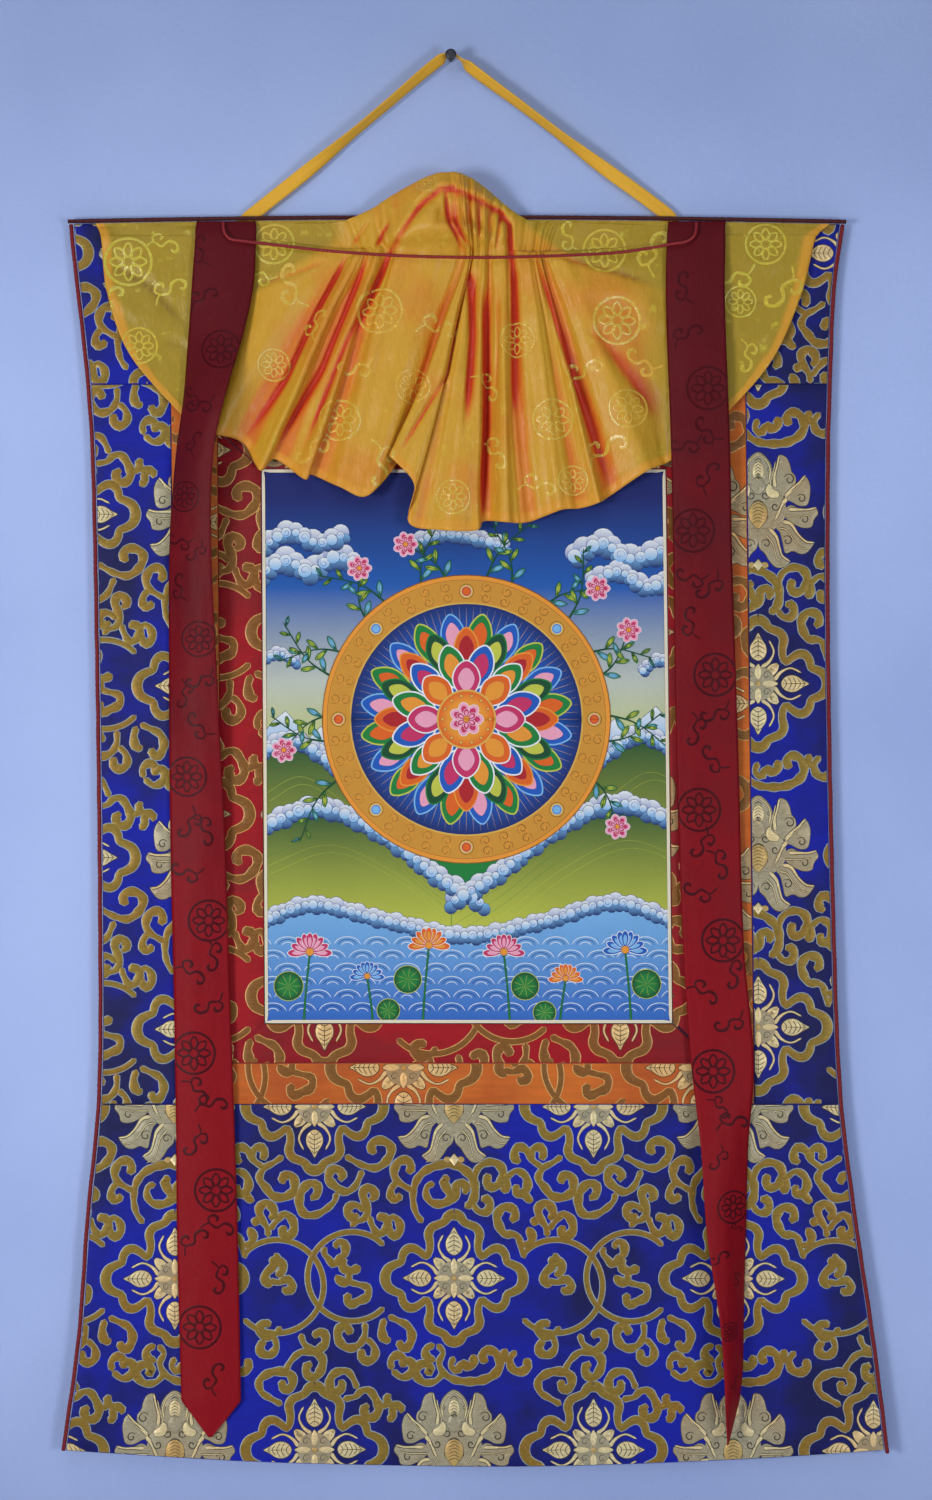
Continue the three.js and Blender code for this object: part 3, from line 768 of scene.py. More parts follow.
class Drawing:
    """Flat figures seen from the front, in millimetres, with x and z in the plane and y minus their height.

    Each face has a tint: its colour, and in the fourth channel how much metal thread it holds. A flat
    drawing has layers of paint with thin edges, and other drawings have rounded relief.
    """

    def __init__(self, flat: bool = False) -> None:
        """Starts an empty drawing."""
        self.flat = flat
        self.mesh = bmesh.new()
        self.tint = self.mesh.loops.layers.float_color.new("tint")

    def _dye(self, face: bmesh.types.BMFace, ink: Ink) -> None:
        """Gives a face one ink."""
        for loop in face.loops:
            loop[self.tint] = ink.tint

    def band(self, points: Sequence[Sequence[float]], width: float, fill: Ink, rim: Ink | None = None,
             rim_width: float = 1.0, rise: float = 0.3, closed: bool = False, ends: Point = (0.55, 1.0),
             swell: float = 0.0, step: float = 2.6, base: float = 0.0) -> None:
        """Lays a band along a curve.

        Args:
            points: what its middle passes through; a third number is a share of the width.
            width: its whole width.
            fill: its ink.
            rim: the ink of its two edges.
            rim_width: how wide each edge is.
            rise: how high its middle stands over its base.
            closed: whether it is a loop.
            ends: shares of the width at its start and end.
            swell: how much its width comes and goes along it.
            step: length of one piece of it.
            base: height of what it lies on.
        """
        curve = Curve(points, closed)
        pieces = max(4, math.ceil(curve.length / step))
        grid = bmesh.ops.create_grid(self.mesh, x_segments=pieces, y_segments=4 if rim else 2, size=0.5)
        verts = grid["verts"]
        places = {}
        outer = set()
        for vert in verts:
            share = round((vert.co.x + 0.5) * pieces)
            if share not in places:
                along = share / pieces
                heading = curve.heading(along)
                heading = Vector((heading[0], heading[1])).normalized()
                middle = curve.at(along)
                if closed:
                    half = width / 2 * (middle[2] if len(middle) > 2 else 1)
                else:
                    half = width / 2 * lerp(ends[0], ends[1], smoothstep(along, 0, 0.6))
                    left_over = (1 - along) * curve.length
                    half *= math.sqrt(clamp(1 - (1 - clamp(left_over / (half + 0.01))) ** 2, 0.03))
                    half *= math.sqrt(clamp(along * curve.length / (0.5 * half + 0.01), 0.05))
                half *= 1 + swell * math.sin(2 * math.pi * along * curve.length / SWELL_PITCH)
                places[share] = (Vector((middle[0], middle[1])), Vector((-heading.y, heading.x)), half)
            middle, side, half = places[share]
            lane = vert.co.y * 2
            offset = lane * half
            height = base + rise * (1 - lane * lane)
            if rim and 0.2 < abs(lane) < 0.8:
                offset = math.copysign(max(half - rim_width, half * 0.4), lane)
                height = base + rise * 0.7
            if self.flat:
                height = base + rise
            if abs(lane) > 0.9:
                height = self._foot(base + rise if self.flat else base)
                outer.add(vert)
            spot = middle + side * offset
            vert.co = Vector((spot.x, -height, spot.y))
        faces = {face for vert in verts for face in vert.link_faces}
        chosen = sorted(faces, key=lambda face: face.index)
        bmesh.ops.recalc_face_normals(self.mesh, faces=chosen)
        for face in chosen:
            self._dye(face, rim if rim and not outer.isdisjoint(face.verts) else fill)
            if face.normal.y > 0:
                face.normal_flip()

    def _foot(self, base: float) -> float:
        """Height of a figure's lowest edge: just under what it lies on."""
        return base - (0.02 if self.flat else 0.05 if base else 0.12)

    def patch(self, outline: Sequence[Point], fill: Ink, rim: Ink | None = None, rim_width: float = 1.0,
              glow: Ink | None = None, glow_width: float = 4.0, rise: float = 0.3, smooth: bool = True,
              low: Ink | None = None) -> None:
        """Fills an outline.

        Args:
            outline: the points round it.
            fill: its ink, at the rim.
            rim: the ink of a narrow edge.
            rim_width: how wide that edge is.
            glow: the ink of its middle, which it shades into.
            glow_width: how far the shading reaches in.
            rise: its height.
            smooth: whether the outline is rounded between its points.
            low: the ink of its lowest place, which it shades into from the top.
        """
        if smooth:
            curve = Curve(outline, True, 6)
            count = max(10, min(64, int(curve.length / 2.4)))
            ring = [curve.at(index / count) for index in range(count)]
        else:
            ring = [Vector(point) for point in outline]
        turned = sum(a.x * b.y - b.x * a.y for a, b in zip(ring, ring[1:] + ring[:1]))
        if turned < 0:
            ring.reverse()
        verts = bmesh.ops.create_circle(self.mesh, cap_ends=True, radius=1, segments=len(ring))["verts"]
        verts.sort(key=lambda vert: math.atan2(vert.co.y, vert.co.x) % (2 * math.pi - 1e-4))
        for vert, spot in zip(verts, ring):
            vert.co = Vector((spot.x, -self._foot(rise if self.flat else 0), spot.y))
        face = next(iter(set.intersection(*(set(vert.link_faces) for vert in verts))))
        face.normal_update()
        if face.normal.y > 0:
            face.normal_flip()
        self._dye(face, fill)
        edge = bmesh.ops.inset_region(self.mesh, faces=[face], thickness=rim_width if rim else 0.35, depth=0,
                                      use_boundary=True, use_even_offset=True)["faces"]
        for vert in face.verts:
            vert.co.y = -rise
        for strip in edge:
            self._dye(strip, rim or fill)
        if glow:
            ring_faces = bmesh.ops.inset_region(self.mesh, faces=[face], thickness=glow_width, depth=0,
                                                use_boundary=True, use_even_offset=True)["faces"]
            inner = set(face.verts)
            for strip in ring_faces:
                for loop in strip.loops:
                    loop[self.tint] = (glow if loop.vert in inner else fill).tint
            self._dye(face, glow)
        if low:
            heights = [vert.co.z for vert in face.verts]
            bottom, top = min(heights), max(heights)
            for loop in face.loops:
                share = (top - loop.vert.co.z) / max(top - bottom, 0.01)
                loop[self.tint] = (*blend_colours(fill.colour, low.colour, share), fill.metal)
        bmesh.ops.triangulate(self.mesh, faces=[face])

    def disc(self, centre: Point, radius: float, fill: Ink, rim: Ink | None = None, rim_width: float = 1.0,
             glow: Ink | None = None, glow_width: float = 4.0, rise: float = 0.3,
             low: Ink | None = None) -> None:
        """Fills a round spot."""
        count = max(10, min(72, int(radius * 1.6)))
        ring = [polar(centre, radius, 2 * math.pi * turn / count) for turn in range(count)]
        self.patch(ring, fill, rim, rim_width, glow, glow_width, rise, smooth=False, low=low)

    def spiral(self, centre: Point, radius: float, start: float, turns: float, width: float, ink: Ink,
               rise: float = 0.45, base: float = 0.0) -> None:
        """A thin line that winds inwards; start is in degrees, and turns may be negative."""
        points = []
        for step in range(9):
            share = step / 8
            angle = math.radians(start) + 2 * math.pi * turns * share
            points.append(polar(centre, radius * (1 - 0.75 * share), angle))
        self.band(points, width, ink, rise=rise, step=1.6, base=base)

    def slice_up(self, pitch: float = SLICE_PITCH) -> None:
        """Cuts all faces along a square grid, so that they can follow a curved surface."""
        for axis in (0, 2):
            low = min((vert.co[axis] for vert in self.mesh.verts), default=0)
            high = max((vert.co[axis] for vert in self.mesh.verts), default=0)
            normal = Vector((1, 0, 0)) if axis == 0 else Vector((0, 0, 1))
            for cut in range(math.ceil(low / pitch), math.floor(high / pitch) + 1):
                bmesh.ops.bisect_plane(self.mesh, geom=everything(self.mesh), plane_co=normal * cut * pitch,
                                       plane_no=normal)

    def repeated(self, places: Sequence[Point], size: float = 1.0) -> bmesh.types.BMesh:
        """A new bmesh with this drawing at each place, and at another size if wanted."""
        source = bpy.data.meshes.new("figures")
        self.mesh.to_mesh(source)
        whole = bmesh.new()
        for x, z in places:
            before = len(whole.verts)
            whole.from_mesh(source)
            whole.verts.ensure_lookup_table()
            bmesh.ops.scale(whole, verts=whole.verts[before:], vec=(size, 1, size))
            bmesh.ops.translate(whole, verts=whole.verts[before:], vec=(x, 0, z))
        bpy.data.meshes.remove(source)
        return whole


@dataclass(frozen=True)
class Ink:
    """A screen colour, in 0 to 255, and how much metal thread it holds."""

    red: int
    green: int
    blue: int
    metal: float = 0.0

    @property
    def colour(self) -> Colour:
        """The linear colour."""
        return srgb(self.red, self.green, self.blue)

    @property
    def tint(self) -> tuple[float, float, float, float]:
        """The linear colour, with the metal in its fourth channel."""
        return (*self.colour, self.metal)


class Weft(Ink, Enum):
    """Inks of the brocade's figures."""

    GOLD = 146, 120, 44, 0.7
    PALE = 150, 166, 172, 0.2
    BROWN = 132, 96, 40, 0.5
    HONEY = 206, 176, 110, 0.3
    PETAL = 170, 162, 132, 0.4
    CREAM = 228, 212, 160, 0.4
    LINE = 62, 58, 44, 0.0
    HEART = 196, 166, 100, 0.5


@dataclass
class BrocadeFigures:
    """One repeat of the brocade: crosses in lobed frames, lotuses, interlocked rings and cloud scrolls.

    Sizes are in the repeat's own units, a little under a millimetre each.
    """

    unit: float = 0.91
    half_pitch: float = 139
    half_height: float = 171
    band_width: float = 8.4
    rim_width: float = 1.15
    gold: Ink = Weft.GOLD
    pale: Ink = Weft.PALE
    scrolls_at_cross: tuple[tuple[Point, ...], ...] = (
        ((30, -49), (49, -59), (62, -61), (74, -51), (76, -40), (67, -34), (58, -36), (57, -43), (62, -46)),
        ((48, -63), (45, -70), (40, -80), (31, -85), (21, -80), (14, -72), (16, -64), (21, -62), (27, -66),
         (27, -71), (23, -72)),
        ((22, -85), (20, -94), (9, -104), (0, -108), (-10, -107), (-15, -98), (-14, -86), (-6, -77), (2, -78),
         (3, -86), (-1, -90), (-4, -88)),
        ((-31, -49), (-41, -56), (-50, -61), (-55, -71), (-48, -81), (-41, -89), (-30, -90), (-21, -84),
         (-21, -71), (-27, -68), (-32, -71), (-30, -77)),
        ((-50, -61), (-61, -53), (-65, -45), (-74, -40), (-79, -46), (-77, -53), (-72, -54)),
        ((-62, -53), (-60, -42), (-52, -41), (-50, -48), (-54, -52)),
        ((28, 50), (41, 53), (46, 58), (54, 59), (61, 50), (64, 40), (59, 32), (51, 33), (50, 42), (55, 43)),
        ((43, 60), (37, 73), (32, 78), (20, 76), (15, 68), (17, 59), (23, 58), (28, 64), (24, 69)),
        ((-32, 45), (-43, 51), (-53, 58), (-55, 69), (-44, 77), (-32, 78), (-23, 74), (-22, 65), (-28, 60),
         (-33, 64), (-29, 69)),
        ((-29, 79), (-24, 88), (-14, 97), (0, 97), (8, 90), (5, 77), (-1, 72), (-8, 76), (-7, 84), (-2, 84)),
        ((66, 41), (72, 45), (78, 44), (86, 42), (86, 36)),
        ((75, 44), (72, 51), (76, 55)),
        ((76, 43), (78, 34), (73, 28)),
    )
    scrolls_at_rings: tuple[tuple[Point, ...], ...] = (
        ((36, 51), (41, 56), (49, 59), (53, 66), (50, 77), (48, 84), (52, 90), (59, 87), (59, 80), (54, 79)),
        ((50, 66), (45, 71), (38, 73), (33, 69), (34, 62), (41, 61), (42, 65)),
        ((54, 62), (58, 51), (63, 44), (70, 47), (73, 55), (68, 61), (62, 58)),
        ((72, 56), (78, 61), (84, 56), (85, 47), (79, 42), (75, 46), (78, 50)),
        ((-46, 41), (-47, 50), (-53, 60), (-55, 70), (-48, 75), (-41, 69), (-41, 62), (-46, 61)),
        ((-45, 48), (-38, 57), (-30, 64), (-22, 58), (-21, 47), (-28, 41), (-32, 47), (-28, 52)),
        ((-68, 20), (-72, 30), (-75, 41), (-81, 44), (-88, 44), (-94, 52), (-96, 63), (-89, 71), (-79, 68),
         (-79, 60), (-84, 59)),
        ((-72, 34), (-65, 34), (-61, 41), (-66, 51)),
        ((50, -44), (50, -57), (45, -66), (35, -70), (26, -65), (23, -55), (27, -48), (34, -50), (33, -57)),
        ((51, -60), (59, -68), (60, -78), (53, -83), (46, -78), (49, -71)),
        ((73, -38), (82, -42), (93, -48), (97, -59), (91, -70), (85, -68), (87, -62)),
        ((70, -40), (67, -51), (70, -62), (76, -60)),
        ((12, 31), (9, 26), (14, 19), (20, 13), (24, 18), (28, 20), (28, 11), (35, 7), (46, 11)),
        ((22, 29), (22, 35), (28, 36), (31, 28), (28, 20)),
        ((34, 6), (33, -5), (25, -2), (21, 3)),
        ((34, -4), (42, -6), (53, -10), (52, -19), (44, -23), (36, -26), (32, -20), (37, -17)),
        ((-40, 25), (-36, 18), (-42, 11), (-48, 5), (-49, -3), (-42, -8)),
        ((-44, 14), (-40, 20), (-33, 16), (-32, 7), (-39, 3)),
        ((-46, -2), (-36, -4), (-27, -1), (-22, -8), (-27, -13), (-32, -9)),
        ((-60, 52), (-57, 62)),
        ((-33, -48), (-40, -56), (-50, -58), (-55, -50), (-49, -44), (-44, -48)),
        ((-41, -57), (-38, -68), (-44, -76), (-53, -74), (-54, -66), (-48, -64)),
        ((-14, -55), (-10, -66), (0, -72), (10, -66), (10, -56), (3, -54), (0, -60)),
    )
    scrolls_at_frame: tuple[tuple[Point, ...], ...] = (
        ((-31, 55), (-38, 65), (-41, 81), (-38, 96), (-30, 106), (-17, 112), (-3, 114), (9, 109), (18, 100),
         (21, 88), (18, 76), (11, 70)),
        ((-19, 94), (-26, 92), (-28, 84), (-23, 76), (-13, 74), (-3, 80), (-8, 91), (-11, 98), (-4, 99)),
        ((-4, 76), (3, 82), (2, 92), (9, 95), (12, 88), (8, 85)),
        ((22, 90), (21, 101), (24, 110), (36, 116), (46, 112), (49, 103), (44, 93), (36, 91), (32, 98),
         (37, 103)),
        ((47, 104), (52, 98), (52, 90), (46, 88)),
        ((52, 100), (62, 107), (71, 102), (73, 91), (66, 84), (61, 88), (65, 93)),
        ((70, 88), (73, 80), (79, 77)),
        ((19, 74), (24, 67), (32, 66), (36, 73), (32, 79), (27, 77)),
        ((-41, 87), (-50, 92), (-57, 97), (-60, 106), (-55, 116), (-46, 117), (-43, 109), (-48, 106)),
        ((-57, 96), (-63, 88), (-62, 80), (-56, 79), (-55, 85)),
        ((-19, -66), (-28, -71), (-27, -79), (-18, -82)),
        ((-17, -66), (-11, -74), (-15, -84), (-11, -94), (0, -101), (15, -103), (30, -101), (42, -94),
         (46, -84), (41, -74), (32, -72), (28, -79), (34, -83)),
        ((-10, -94), (-19, -103), (-30, -104), (-38, -96), (-35, -87), (-26, -86), (-24, -93), (-30, -94)),
        ((0, -78), (-3, -88), (3, -92), (8, -85), (14, -88), (20, -84), (18, -76)),
        ((-62, -92), (-52, -99), (-44, -96), (-41, -87), (-47, -82), (-52, -86)),
        ((-62, -92), (-63, -82), (-56, -77), (-50, -82), (-53, -89)),
        ((62, -72), (56, -80), (58, -90), (67, -93), (74, -87), (70, -80)),
        ((58, -84), (50, -78), (52, -70)),
    )
    frame_quarter: tuple[tuple[float, float, float], ...] = (
        (0, 63.5, 1.3), (5.6, 61.7, 1.2), (10, 56, 1), (14.8, 53.6, 1), (21.9, 50.5, 1.06),
        (25.5, 43.9, 1.08), (24, 34.7, 0.95), (24.5, 27.6, 0.9), (27.6, 21.6, 0.9), (33.2, 25.6, 0.92),
        (40.3, 29.6, 1.05), (46.4, 29, 1.1), (51, 23.5, 1), (53, 16, 0.95), (58.7, 13.6, 1), (65.8, 9, 1.15),
        (68.9, 0, 1.25))
    lotus_petals: tuple[tuple[Point, ...], ...] = (
        ((58, 24), (60.5, 18), (56, 11.6), (54, 4.5), (45, 3), (37, 6), (28, 12), (24, 20), (32, 27),
         (41, 24), (50, 22)),
        ((47, 56), (52, 48), (52, 35), (49, 26), (41, 25), (33, 29), (25, 33), (31, 42), (40, 48)),
        ((21, 77), (28, 75), (32, 68), (34, 60), (37.5, 56), (38, 48), (32, 42), (25, 34), (17, 45),
         (15.5, 53), (18, 66)),
        ((56, -11), (53, -17), (47, -22.5), (40, -22.5), (35, -20), (27, -22.5), (24, -12), (21, -1), (17, 4),
         (25, 11), (32, 8), (40, -3), (48, -10)),
        ((32, -30), (29, -34), (23, -37), (17, -36), (11, -30), (6, -22), (1, -17), (0, 2), (9, 4), (18, -3),
         (22, -13), (24, -22), (28, -27)),
    )
    lotus_edges: tuple[tuple[Point, ...], ...] = (
        ((17, 44), (16, 54), (19, 66), (21, 76)), ((27, 35), (34, 43), (41, 49), (47, 56)),
        ((24, 10), (32, 8), (40, -3), (48, -10), (56, -11)),
        ((11, 3), (18, -5), (21, -15), (24, -24), (32, -30)),
        ((30, 22), (40, 22), (50, 22), (58, 24)), ((29, 33), (24, 27), (20, 17), (17, 12)),
    )
    lotus_curls: tuple[tuple[float, float, float, float], ...] = (
        (31, 52, 6, 160), (43, 33, 5, 150), (46, 12, 5, 170), (29, -9, 5.5, 150), (8, -12, 5, 200),
        (7, 36, 4.5, 20), (17, 25, 4.5, 10), (6, 15, 4, 30), (11, 62, 3.5, 60),
    )

    def _scaled(self, points: Sequence[Sequence[float]], x: float, z: float, flip: int = 1) -> list[tuple]:
        """Points of the repeat, moved to a place and in millimetres; a third number stays as it is."""
        return [((x + flip * point[0]) * self.unit, (z + point[1]) * self.unit, *point[2:])
                for point in points]

    def draw(self) -> Drawing:
        """The whole repeat as a drawing."""
        drawing = Drawing()
        pitch, height = self.half_pitch, self.half_height
        for x, z in ((0, 0), (pitch, height)):
            self._cross(drawing, x, z)
            self._frame(drawing, x, z)
        self._scrolls(drawing, self.scrolls_at_cross, pitch, height)
        self._scrolls(drawing, self.scrolls_at_rings, pitch, 0)
        self._scrolls(drawing, self.scrolls_at_frame, 0, 0)
        for shift, lift, reach, first in ((-37.5, -8, 46.5, 224), (37.5, 1.5, 44.5, 44)):
            ring = [polar((shift, lift), reach, math.radians(turn)) for turn in range(first, first + 273, 17)]
            self._gold_band(drawing, ring, (pitch, 0), 0.86, rise=0.3 + shift * 0.001, ends=(1, 1))
        self._lotus(drawing, 0, height - 19.5)
        drawing.slice_up()
        return drawing

    def _gold_band(self, drawing: Drawing, points: Sequence[Sequence[float]], spot: Point, wide: float,
                   **shape: object) -> None:
        """Lays a gold band with pale edges.

        Args:
            drawing: the repeat.
            points: what it passes through, about a spot.
            spot: that spot, in the repeat's units.
            wide: its width as a share of the usual one.
            shape: the band's other arguments.
        """
        drawing.band(self._scaled(points, *spot), self.band_width * wide * self.unit, self.gold, self.pale,
                     self.rim_width * self.unit, **shape)

    def _scrolls(self, drawing: Drawing, scrolls: Sequence[Sequence[Point]], x: float, z: float) -> None:
        """Lays cloud scrolls round a place, each at its own height so that crossings don't flicker."""
        for number, scroll in enumerate(scrolls):
            self._gold_band(drawing, scroll, (x, z), 1, rise=0.3 + 0.012 * (number % 5), ends=(0.85, 1.25),
                            swell=0.1)

    def _frame(self, drawing: Drawing, x: float, z: float) -> None:
        """The lobed frame round a cross."""
        ring: list[tuple[float, float, float]] = []
        for right, up in ((1, 1), (1, -1), (-1, -1), (-1, 1)):
            part = [(right * px, up * pz, share) for px, pz, share in self.frame_quarter]
            ring += part[:-1] if right == up else part[:0:-1]
        self._gold_band(drawing, ring, (x, z), 1.16, rise=0.36, closed=True, step=2.2)

    def _cross(self, drawing: Drawing, x: float, z: float) -> None:
        """A four-armed cross of hatched buds and prongs."""
        petal, cream, line, heart = Weft.PETAL, Weft.CREAM, Weft.LINE, Weft.HEART
        size = self.unit

        def turned(points: Sequence[Point], quarter: int) -> list[Point]:
            """Points turned by quarters about the cross's middle."""
            angle = quarter * math.pi / 2
            cosine, sine = math.cos(angle), math.sin(angle)
            spun = [(px * cosine - pz * sine, px * sine + pz * cosine) for px, pz in points]
            return self._scaled(spun, x, z)

        for quarter in range(4):
            for flip in (1, -1):
                prong = [(flip * 3, 16), (flip * 11, 22), (flip * 15.5, 32), (flip * 11, 43)]
                drawing.band(turned(prong, quarter), 5.4 * size, cream, line, 0.9 * size, ends=(1, 0.6),
                             step=2)
                leaf = [(flip * 4, 9), (flip * 11, 19), (flip * 20, 21), (flip * 18, 13)]
                drawing.patch(turned(leaf, quarter), cream, line, 0.9 * size, rise=0.26)
            bud = [(0, 52), (4, 45), (8.5, 38), (9, 31), (6, 25), (0, 22), (-6, 25), (-9, 31), (-8.5, 38),
                   (-4, 45)]
            drawing.patch(turned(bud, quarter), cream, line, 1.0 * size, rise=0.4)
            for rung in range(5):
                reach = 25 + 4.6 * rung
                half = (5.2, 7, 7, 5.4, 3)[rung]
                drawing.band(turned([(-half, reach), (0, reach + 3.4), (half, reach)], quarter), 1.2 * size,
                             line, rise=0.06, base=0.41, ends=(1, 1), step=2)
            drawing.band(turned([(0, 24), (0, 49)], quarter), 1.0 * size, line, rise=0.06, base=0.41, step=3)
        drawing.disc((x * size, z * size), 18 * size, petal, line, 1.0 * size, rise=0.36)
        for quarter in range(4):
            drop = [(0, 21), (3.8, 14), (3, 6), (0, 3), (-3, 6), (-3.8, 14)]
            drawing.patch(turned(drop, quarter), cream, line, 0.8 * size, rise=0.48)
            drawing.spiral(turned([(8.5, 8.5)], quarter)[0], 4.4 * size, 0, 1.1, 1.1 * size, line, rise=0.06,
                           base=0.37)
        drawing.disc((x * size, z * size), 3.6 * size, heart, line, 0.8 * size, rise=0.52)

    def _lotus(self, drawing: Drawing, x: float, z: float) -> None:
        """A lotus with curled and hatched petals, a tall bud and a pendant."""
        petal, cream, line, heart = Weft.PETAL, Weft.CREAM, Weft.LINE, Weft.HEART
        size = self.unit
        body = [(-26, 34), (-18, 48), (0, 60), (18, 48), (26, 34), (28, 16), (18, 3), (0, -4), (-18, 3),
                (-28, 16)]
        drawing.patch(self._scaled(body, x, z), petal, line, 0.7 * size, rise=0.2)
        for number, shape in enumerate(self.lotus_petals):
            for flip in (1, -1):
                drawing.patch(self._scaled(shape, x, z, flip), petal, line, 0.9 * size,
                              rise=0.26 + 0.02 * number)
        for number, shape in enumerate(self.lotus_edges):
            for flip in (1, -1):
                for shift, wide in ((0.0, 6.2), (-6.4, 3.4)):
                    points = self._scaled([(px + shift * 0.6, pz + shift) for px, pz in shape], x, z, flip)
                    drawing.band(points, wide * size, cream, line, 0.8 * size, base=0.38,
                                 rise=0.12 + 0.01 * number, ends=(0.8, 0.5), step=2.2)
        arch = [(-14, 50), (-15, 62), (-10, 73), (0, 80), (10, 73), (15, 62), (14, 50)]
        drawing.patch(self._scaled(arch + [(0, 44)], x, z), petal, line, 1.0 * size, rise=0.4)
        for flip in (1, -1):
            side = self._scaled([(11, 52), (12, 62), (8, 71), (0, 77)], x, z, flip)
            drawing.band(side, 4.2 * size, cream, line, 0.8 * size, base=0.41, rise=0.1, ends=(0.8, 0.6),
                         step=2.2)
        for shape, ink in (([(0, 72), (5.5, 65), (6, 56), (0, 50), (-6, 56), (-5.5, 65)], cream),
                           ([(0, 59), (6, 51), (8, 44), (4, 38), (0, 36), (-4, 38), (-8, 44), (-6, 51)],
                            petal),
                           ([(0, 31), (8, 26), (10, 15), (5, 6), (0, 2), (-5, 6), (-10, 15), (-8, 26)],
                            heart),
                           ([(0, -26), (6, -33), (0, -41), (-6, -33)], cream)):
            drawing.patch(self._scaled(shape, x, z), ink, line, 0.9 * size, rise=0.54, smooth=len(shape) > 4)
        for rung in range(7):
            for low, half in ((52 + 3 * rung, 4), (8 + 3.4 * rung, 6)):
                points = [(-half, low), (0, low + 3), (half, low)]
                drawing.band(self._scaled(points, x, z), 0.9 * size, line, base=0.56, rise=0.05, ends=(1, 1),
                             step=3)
        for flip in (1, -1):
            leaf = [(11, 49), (7, 42), (10, 34), (20, 33), (22, 39), (16, 43)]
            drawing.patch(self._scaled(leaf, x, z, flip), cream, line, 0.9 * size, rise=0.5)
            drawing.patch(self._scaled([(3, -31), (9, -30), (11, -35), (5, -37)], x, z, flip), heart, line,
                          0.7 * size, rise=0.4)
            for px, pz, radius, start in self.lotus_curls:
                centre = self._scaled([(px, pz)], x, z, flip)[0]
                drawing.spiral(centre, radius * size, start if flip > 0 else 180 - start, -1.15 * flip,
                               1.25 * size, line, rise=0.08, base=0.38)

    def over(self, origin: Point, box: tuple[float, float, float, float]) -> list[Point]:
        """Places of the repeat that reach into a box.

        Args:
            origin: where one cross lies, in millimetres.
            box: lowest x, highest x, lowest z and highest z, in millimetres.

        Returns:
            The places, in millimetres.
        """
        across = 2 * self.half_pitch * self.unit
        upward = 2 * self.half_height * self.unit
        reach = 1.1 * across
        places = []
        for column in range(-5, 6):
            for row in range(-6, 7):
                x, z = origin[0] + column * across, origin[1] + row * upward
                if (box[0] - reach < x < box[1] + reach / 2
                        and box[2] - reach < z < box[3] + reach / 2):
                    places.append((x, z))
        return places


class Piece(ABC):
    """A sub-assembly of the hanging that builds and dresses its own meshes."""

    @abstractmethod
    def build(self) -> list[bpy.types.Object]:
        """Builds the sub-assembly and returns its objects."""


@dataclass
class BrocadePanels(Piece):
    """The four panels of blue brocade with their woven figures."""

    mount: MountShape
    figures: Drawing
    pattern: BrocadeFigures
    thick: float = 2.0
    grid_pitch: float = 9.0
    weft_rise: float = 1.02

    def patches(self) -> list[tuple[Patch, Point, tuple[float, float]]]:
        """Each panel, where a cross of its pattern lies, and its flat width and length in metres."""
        mount = self.mount
        top_left, top_right, low_left, low_right = ORANGE_FRAME
        upper, lower = sloping(top_left, top_right, 0), sloping(low_left, low_right, 0)
        ends = (sloping(top_left, top_right, -SEAM_GAP), sloping(low_left, low_right, SEAM_GAP))
        return [
            (Patch("brocade_top", mount.left, mount.right, mount.top, upper), (-264.8, -333), (0.705, 0.15)),
            (Patch("brocade_left", mount.left, slanted(top_left, low_left, -SEAM_GAP), *ends),
             (-222, -881), (0.075, 0.653)),
            (Patch("brocade_right", slanted(top_right, low_right, SEAM_GAP), mount.right, *ends),
             (278.5, -879), (0.082, 0.653)),
            (Patch("brocade_bottom", mount.left, mount.right, lower, mount.bottom), (2.8, -1107),
             (0.745, 0.33)),
        ]

    def build(self) -> list[bpy.types.Object]:
        """The panels and their figures."""
        ground = BrocadeGround("blue_brocade", srgb(10, 26, 158), srgb(12, 16, 78)).make()
        weft = WeftThread("blue_brocade_weft").make()
        back = woven_back("blue_brocade_back", srgb(34, 34, 92))
        objects = []
        for patch, origin, flat in self.patches():
            columns, rows = (max(6, round(length * 1000 / self.grid_pitch)) for length in flat)
            mesh = bent_grid(columns, rows, lambda across, down: self.mount.point(*patch.spot(across, down)))
            panel = finish_object(patch.name + "_ground", mesh, ground)
            thicken(panel, self.thick, round_edge=0.5, back=back)
            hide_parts(patch.name)
            figures = weave_in(patch, self.figures, self.pattern, origin, self.mount, self.weft_rise)
            woven = finish_object(patch.name + "_figures", figures, weft)
            objects += [panel, woven]
        return objects


